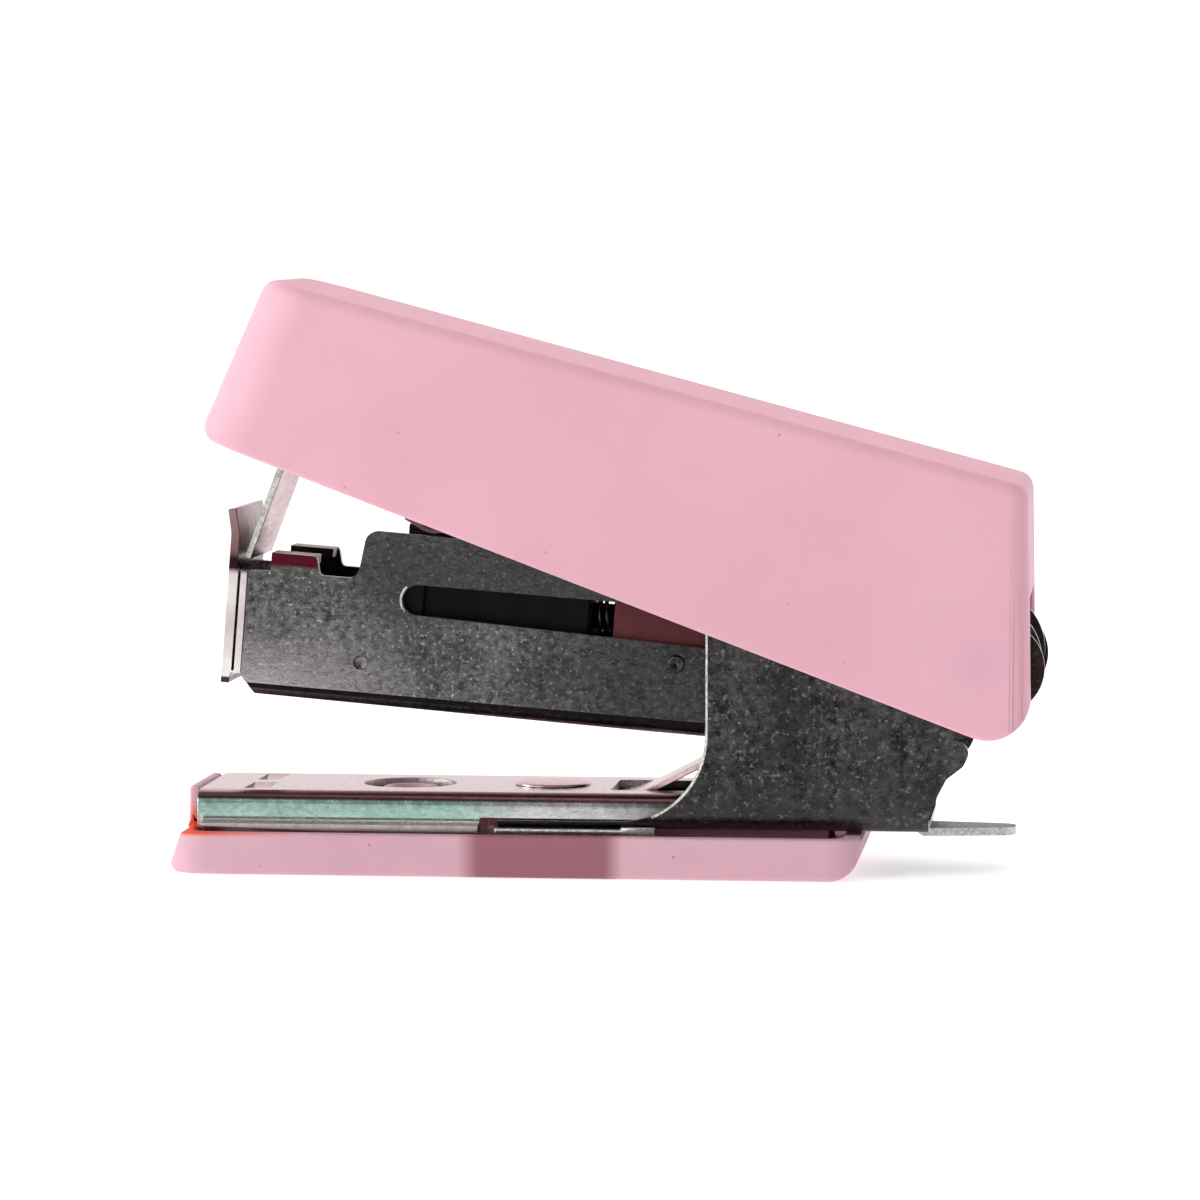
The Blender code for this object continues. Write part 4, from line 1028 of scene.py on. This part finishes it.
def guide_rod():
    rear = BRACKET_REAR + 0.05
    profile = [(0, rear + 0.7), (0.7, rear + 0.7), (1.0, rear + 0.4), (1.0, rear), (ROD_RADIUS, rear),
               (ROD_RADIUS, -41.7), (0.3, -42.0), (0, -42.0)]
    rod = turned("rod", profile, (0, 0, ROD_Z), "X", SPRING_STEEL)
    return place(rod, "magazine", "spring_steel", "guide_rod")


def staple_strip():
    """Single staples side by side, joined in one piece by their glue."""
    foot = CHANNEL_BOTTOM + CHANNEL_SHEET + 0.3
    outline = folded(STAPLE_HALF_WIDTH, foot, STAPLE_CROWN, 0.35, STAPLE_WIRE)
    count = round((STRIP_REAR - STRIP_FRONT) / STAPLE_WIRE)
    step = (STRIP_REAR - STRIP_FRONT) / count
    strip = bpy.data.meshes.new("staples")
    work = bmesh.new()
    for i in range(count):
        staple = prism("staple", [outline], step - 0.03, "YZ", STRIP_FRONT + step * (i + 0.5), STAPLE_STEEL)
        staple = soften(staple, 0.12)
        work.from_mesh(staple.data)
        bpy.data.objects.remove(staple)
    work.to_mesh(strip)
    work.free()
    strip.materials.append(STAPLE_STEEL)
    return place(add_object("staples", strip), "magazine", "staple_wire", "staple_strip")


def pusher():
    head = block("pusher_block", (PUSHER_FRONT, -4.6, -5.8), (PUSHER_STEP, 4.6, PUSHER_TOP), BLACK)
    body = block("body", (PUSHER_STEP - 0.5, -4.05, -4.6), (PUSHER_REAR, 4.05, PUSHER_TOP), BLACK)
    joined = soften(join(head, body), 0.25)
    spigot = bar("spigot", 0.9, PUSHER_REAR - 0.5, SPIGOT_REAR, "X", (0, 0, ROD_Z), BLACK)
    joined = join(joined, spigot)
    hole = bar("hole", ROD_RADIUS + 0.1, PUSHER_FRONT - 1, SPIGOT_REAR + 1, "X", (0, 0, ROD_Z), BLACK)
    return place(combine(joined, hole), "pusher", "black_plastic", "pusher")


def pusher_spring():
    """Closely wound compression spring, with its two end turns drawn together."""
    wire_radius = 0.15
    start = PUSHER_REAR + 0.1 + wire_radius
    end = BRACKET_REAR - 0.5 - 0.1 - wire_radius
    turns = round((end - start) / SPRING_PITCH) + 2
    steps = 20 * turns
    lead = 1.0 / turns                          # an end turn lies flat against its seat
    closed = 2.2 * wire_radius
    points = []
    for i in range(steps + 1):
        share = i / steps
        along = min(1, max(0, (share - lead) / (1 - 2 * lead)))
        x = start + closed * min(1, share / lead) + (end - start - 2 * closed) * along
        x += closed * max(0, (share - 1 + lead) / lead)
        turn = 2 * pi * turns * share
        points.append((x, SPRING_RADIUS * cos(turn), ROD_Z + SPRING_RADIUS * sin(turn)))
    spring = wire("coil", points, wire_radius, SHADED_COIL_STEEL)
    spring = place(spring, "magazine", "spring_steel", "pusher_spring")
    along = MAGAZINE.to_3x3() @ Vector((1, 0, 0))
    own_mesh(spring)
    return spring


# ---------------------------------------- handle

HANDLE_FRONT_TOP = (-55.25, 6.95)
HANDLE_FRONT_BOTTOM = (-55.9, -4.8)
HANDLE_HALF_WIDTH = shell_high[1]
HANDLE_WALL = 1.3
HANDLE_EDGE_RADIUS = 0.9
HANDLE_FRONT_RADIUS = 3.8
HANDLE_REAR_RADIUS = 1.5
HANDLE_BACK_REACH = 3.45
HANDLE_BACK_TILT = radians(21.7)
ROOF_SLOPE = 0.1019
BOSS_INNER = 6.95
EAR_GAP = FRAME_HALF_WIDTH + 0.55
PLATE_LOW = 4.4
PLATE_HIGH = 5.0
UNDER_PLATE = PLATE_LOW - 0.07  # where the blade and the return leaf lie against it
BLADE_X = -49.97
BLADE_TIP = -11.9
BLADE_SHEET = 0.45
BLADE_RIVET_X = -46.6
BLADE_RIVET_RADIUS = 0.6
SCREW_FRONT_X = -38.0
SCREW_REAR_X = -14.0
SCREW_RADIUS = 0.7
RETURN_SHEET = 0.35


def roof_height(x):
    return HANDLE_FRONT_TOP[1] + (x - HANDLE_FRONT_TOP[0]) * ROOF_SLOPE


def back_x(z, reach):
    """Where the rear face stands at height z; it is almost upright when the handle is at rest."""
    return (reach - z * sin(HANDLE_BACK_TILT)) / cos(HANDLE_BACK_TILT)


def handle_block(name, inset, edge, steps):
    """The handle's form, far too deep below; or its hollow when inset. Its roof edge is rounded.

    It is an upright block with its roof at zero, until lean_handle gives it the slopes.
    """
    plan = slab(HANDLE_FRONT_BOTTOM[0] + inset, back_x(0, HANDLE_BACK_REACH - inset),
                HANDLE_HALF_WIDTH - inset, HANDLE_FRONT_RADIUS - inset, HANDLE_REAR_RADIUS - inset)
    turns = [pi / 2 * i / steps for i in range(steps + 1)]
    levels = [(0, -22)] + [(edge * (1 - cos(t)), -inset - edge * (1 - sin(t))) for t in turns]
    points = []
    for narrower, height in levels:
        points += [(x * MM, y * MM, height * MM) for x, y in inset_loop(plan, narrower)]
    count = len(plan)
    faces = [tuple(reversed(range(count))), tuple(range(len(points) - count, len(points)))]
    for low in range(0, len(points) - count, count):
        for i in range(count):
            after = (i + 1) % count
            faces.append((low + i, low + after, low + count + after, low + count + i))
    mesh = bpy.data.meshes.new(name)
    mesh.from_pydata(points, [], faces)
    return paint(add_object(name, mesh), PINK)


def lean_handle(body):
    """Gives the upright block the handle's roof slope and the leans of its front and rear faces."""
    front, low = HANDLE_FRONT_BOTTOM
    front_lean = (HANDLE_FRONT_TOP[0] - front) / (HANDLE_FRONT_TOP[1] - low)
    rear_lean = -sin(HANDLE_BACK_TILT) / cos(HANDLE_BACK_TILT)
    length = back_x(0, HANDLE_BACK_REACH) - front
    for vertex in body.data.vertices:
        x, y, z = vertex.co / MM
        share = (x - front) / length
        lean = front_lean + (rear_lean - front_lean) * share
        start = x - (1 - share) * front_lean * low
        new_x = (start + lean * (z + roof_height(0))) / (1 - lean * ROOF_SLOPE)
        vertex.co = Vector((new_x, y, z + roof_height(new_x))) * MM
    return body


def handle_shell():
    shell = lean_handle(handle_block("handle", 0, HANDLE_EDGE_RADIUS, 8))
    front, low = HANDLE_FRONT_BOTTOM
    spare = 0.02                # keeps the trimming faces off the shell's own
    rear = HANDLE_BACK_REACH + spare
    foot = rounded([(front - spare, low, 1.4), (back_x(low, rear), low, 2.9), (back_x(15, rear), 15, 0),
                    (HANDLE_FRONT_TOP[0] - spare, 15, 0)])
    shell = combine(shell, prism("foot", [foot], 30, finish=PINK), operation="INTERSECT")
    shell = combine(shell, lean_handle(handle_block("hollow", HANDLE_WALL, 0.28, 3)),
                    block("gap", (-1.2, -EAR_GAP, -9), (9, EAR_GAP, 5.2), PINK))
    screws = (SCREW_FRONT_X, SCREW_REAR_X)
    bosses = [bar("boss", 2.7, low, high, "Y", (0, 0, 0), PINK)
              for low, high in both_sides(BOSS_INNER, HANDLE_HALF_WIDTH - 0.6)]
    posts = [bar("post", 1.7, PLATE_HIGH + 0.06, roof_height(x) - 0.5, "Z", (x, 0, 0), PINK)
             for x in screws]
    shell = join(shell, *bosses, *posts)
    holes = [upright_hole(SCREW_RADIUS + 0.06, 0, roof_height(x) - 1.8, x, PINK) for x in screws]
    shell = combine(shell, cross_hole(PIN_RADIUS + PLAY, 0, 0, PINK, PIN_HALF_LENGTH + 0.1), *holes)
    return place(soften(shell, 0.2, radians(50)), "handle", "pink_plastic", "handle_shell")


def driver_plate():
    holes = [circle(x, radius) for x, radius in (
        (SCREW_FRONT_X, SCREW_RADIUS + 0.1), (SCREW_REAR_X, SCREW_RADIUS + 0.1),
        (BLADE_RIVET_X, BLADE_RIVET_RADIUS + PLAY))]
    plate = prism("carrier", [slab(-50.6, -8.0, 5, 0.8, 1.5)] + holes, PLATE_HIGH - PLATE_LOW, "XY",
                  (PLATE_LOW + PLATE_HIGH) / 2, BLADE_STEEL)
    return place(soften(plate, EDGE_ROUND), "handle", "nickel_steel", "driver_plate")


def driver_blade():
    flange = UNDER_PLATE - BLADE_SHEET / 2
    path = [(-44.4, flange, 0), (BLADE_X, flange, 0.7), (BLADE_X, BLADE_TIP, 0)]
    blade = sheet("blade", path, BLADE_SHEET, 2 * BLADE_HALF_WIDTH, BLADE_STEEL)
    blade = combine(blade, upright_hole(BLADE_RIVET_RADIUS + PLAY, 2, 6, BLADE_RIVET_X))
    return place(edge_faces(soften(blade, 0.05), EDGE), "handle", "nickel_steel", "driver_blade")


def blade_rivet():
    top = PLATE_HIGH + 0.04
    bottom = UNDER_PLATE - BLADE_SHEET - 0.04
    half = [(0, top + 0.4), (0.5, top + 0.38), (0.9, top + 0.25), (1.15, top), (BLADE_RIVET_RADIUS, top)]
    profile = mirrored(half, (top + bottom) / 2)
    rivet = turned("blade_pin", profile, (BLADE_RIVET_X, 0, 0), finish=NICKEL)
    return place(rivet, "handle", "nickel_steel", "blade_rivet")


def driver_screw(name, node, x, head_top, length):
    profile = [(0, head_top + length), (0.3, head_top + length), (SCREW_RADIUS, head_top + length - 0.5),
               (SCREW_RADIUS, head_top), (1.5, head_top), (1.5, head_top - 0.35), (1.35, head_top - 0.6),
               (1.0, head_top - 0.76), (0, head_top - 0.8)]
    screw = turned(name, profile, (x, 0, 0), finish=SPRING_STEEL)
    cross = [block("slot", (x - a, -b, head_top - 1), (x + a, b, head_top - 0.45), SPRING_STEEL)
             for a, b in ((0.8, 0.15), (0.15, 0.8))]
    return place(combine(screw, *cross), "handle", "spring_steel", node)


def handle_spring():
    top = UNDER_PLATE - RETURN_SHEET / 2
    path = [(-10.0, top, 0), (-19.0, top, 3.0), (-38.6, -5.45, 1.5), (-40.5, -5.1, 0)]
    leaf = sheet("return_leaf", path, RETURN_SHEET, 11.2, RETURN_STEEL)
    leaf = combine(leaf, upright_hole(SCREW_RADIUS + 0.1, 2, 6, SCREW_REAR_X))
    return place(soften(leaf, EDGE_ROUND), "handle", "spring_steel", "handle_spring")


# ---------------------------------------- stage

STUDIO_FRONT = 0.16             # the studio's brightness on the camera's side
STUDIO_BACK = 1.05              # and behind the stapler


def add_floor():
    mesh = bpy.data.meshes.new("floor")
    work = bmesh.new()
    bmesh.ops.create_circle(work, cap_ends=True, segments=64, radius=6)
    work.to_mesh(mesh)
    work.free()
    floor = add_object("floor", mesh)
    floor.location.z = -0.00004
    nodes = Nodes("floor")
    nodes.set(Base_Color=(0.80, 0.80, 0.80, 1), Roughness=0.7, Emission_Color=(1, 1, 1, 1),
              Emission_Strength=0.55)
    mesh.materials.append(nodes.material)


def add_light(name, place_m, size, power):
    """A soft box that faces the stapler."""
    data = bpy.data.lights.new(name, "AREA")
    data.shape = "RECTANGLE"
    data.size, data.size_y = size
    data.energy = power
    light = add_object(name, data)
    light.location = place_m
    aim = Vector((0, 0, 0.02)) - Vector(place_m)
    light.rotation_euler = aim.to_track_quat("-Z", "Y").to_euler()


def add_world():
    """A white studio whose far side is bright and whose near side is dimmer."""
    world = bpy.data.worlds.new("studio")
    bpy.context.scene.world = world
    studio = Tree(world)
    toward = studio.add("SeparateXYZ", {"Vector": studio.add("TexCoord").outputs["Generated"]})
    level = studio.add("MapRange", {"Value": toward.outputs["Y"], "From Min": -0.35, "From Max": 0.45,
                                    "To Min": STUDIO_FRONT, "To Max": STUDIO_BACK},
                       interpolation_type="SMOOTHSTEP")
    background = studio.tree.nodes["Background"].inputs
    studio.feed(background["Color"], (1, 1, 1, 1))
    studio.feed(background["Strength"], level.outputs["Result"])


def add_camera():
    """A long lens 36 cm away, a little to the hinge's side and a little above."""
    azimuth = radians(6.0)
    elevation = radians(4.2)
    distance = 0.363
    aim = Vector((-0.0013, 0, 0.01848))
    back = Vector((sin(azimuth) * cos(elevation), -cos(azimuth) * cos(elevation), sin(elevation)))
    data = bpy.data.cameras.new("camera")
    data.lens = 155.7
    data.sensor_width = 36
    data.clip_start = 0.01
    camera = add_object("camera", data)
    camera.location = aim + back * distance
    camera.rotation_euler = (-back).to_track_quat("-Z", "Y").to_euler()
    bpy.context.scene.camera = camera


def build():
    add_camera()
    add_world()
    add_floor()
    add_light("key", (-0.55, -0.55, 0.40), (0.45, 0.45), 3.0)
    add_light("side", (-0.9, -0.12, 0.22), (0.4, 0.4), 2.4)
    add_light("top", (0.1, -0.25, 0.8), (0.5, 0.4), 1.5)
    base_tray()
    anvil_plate()
    rear_frame()
    leaf_spring()
    base_rivet("leaf_rivet_head", "leaf_rivet", LEAF_RIVET_X, 2.65, 0.28)
    base_rivet("anvil_rivet_head", "anvil_rivet", ANVIL_RIVET_X, 2.0, 0.45)
    pivot_pin()
    magazine_channel()
    front_plate()
    rear_bracket()
    bracket_rivet("stake_left", "bracket_rivet_left", 1)
    bracket_rivet("stake_right", "bracket_rivet_right", -1)
    guide_rod()
    staple_strip()
    pusher()
    pusher_spring()
    handle_shell()
    driver_plate()
    driver_blade()
    blade_rivet()
    driver_screw("screw_front", "driver_screw_front", SCREW_FRONT_X, PLATE_LOW - 0.04, 2.2)
    driver_screw("screw_rear", "driver_screw_rear", SCREW_REAR_X, PLATE_LOW - 0.46, 4.6)
    handle_spring()


build()
bpy.context.scene.view_settings.view_transform = "Standard"
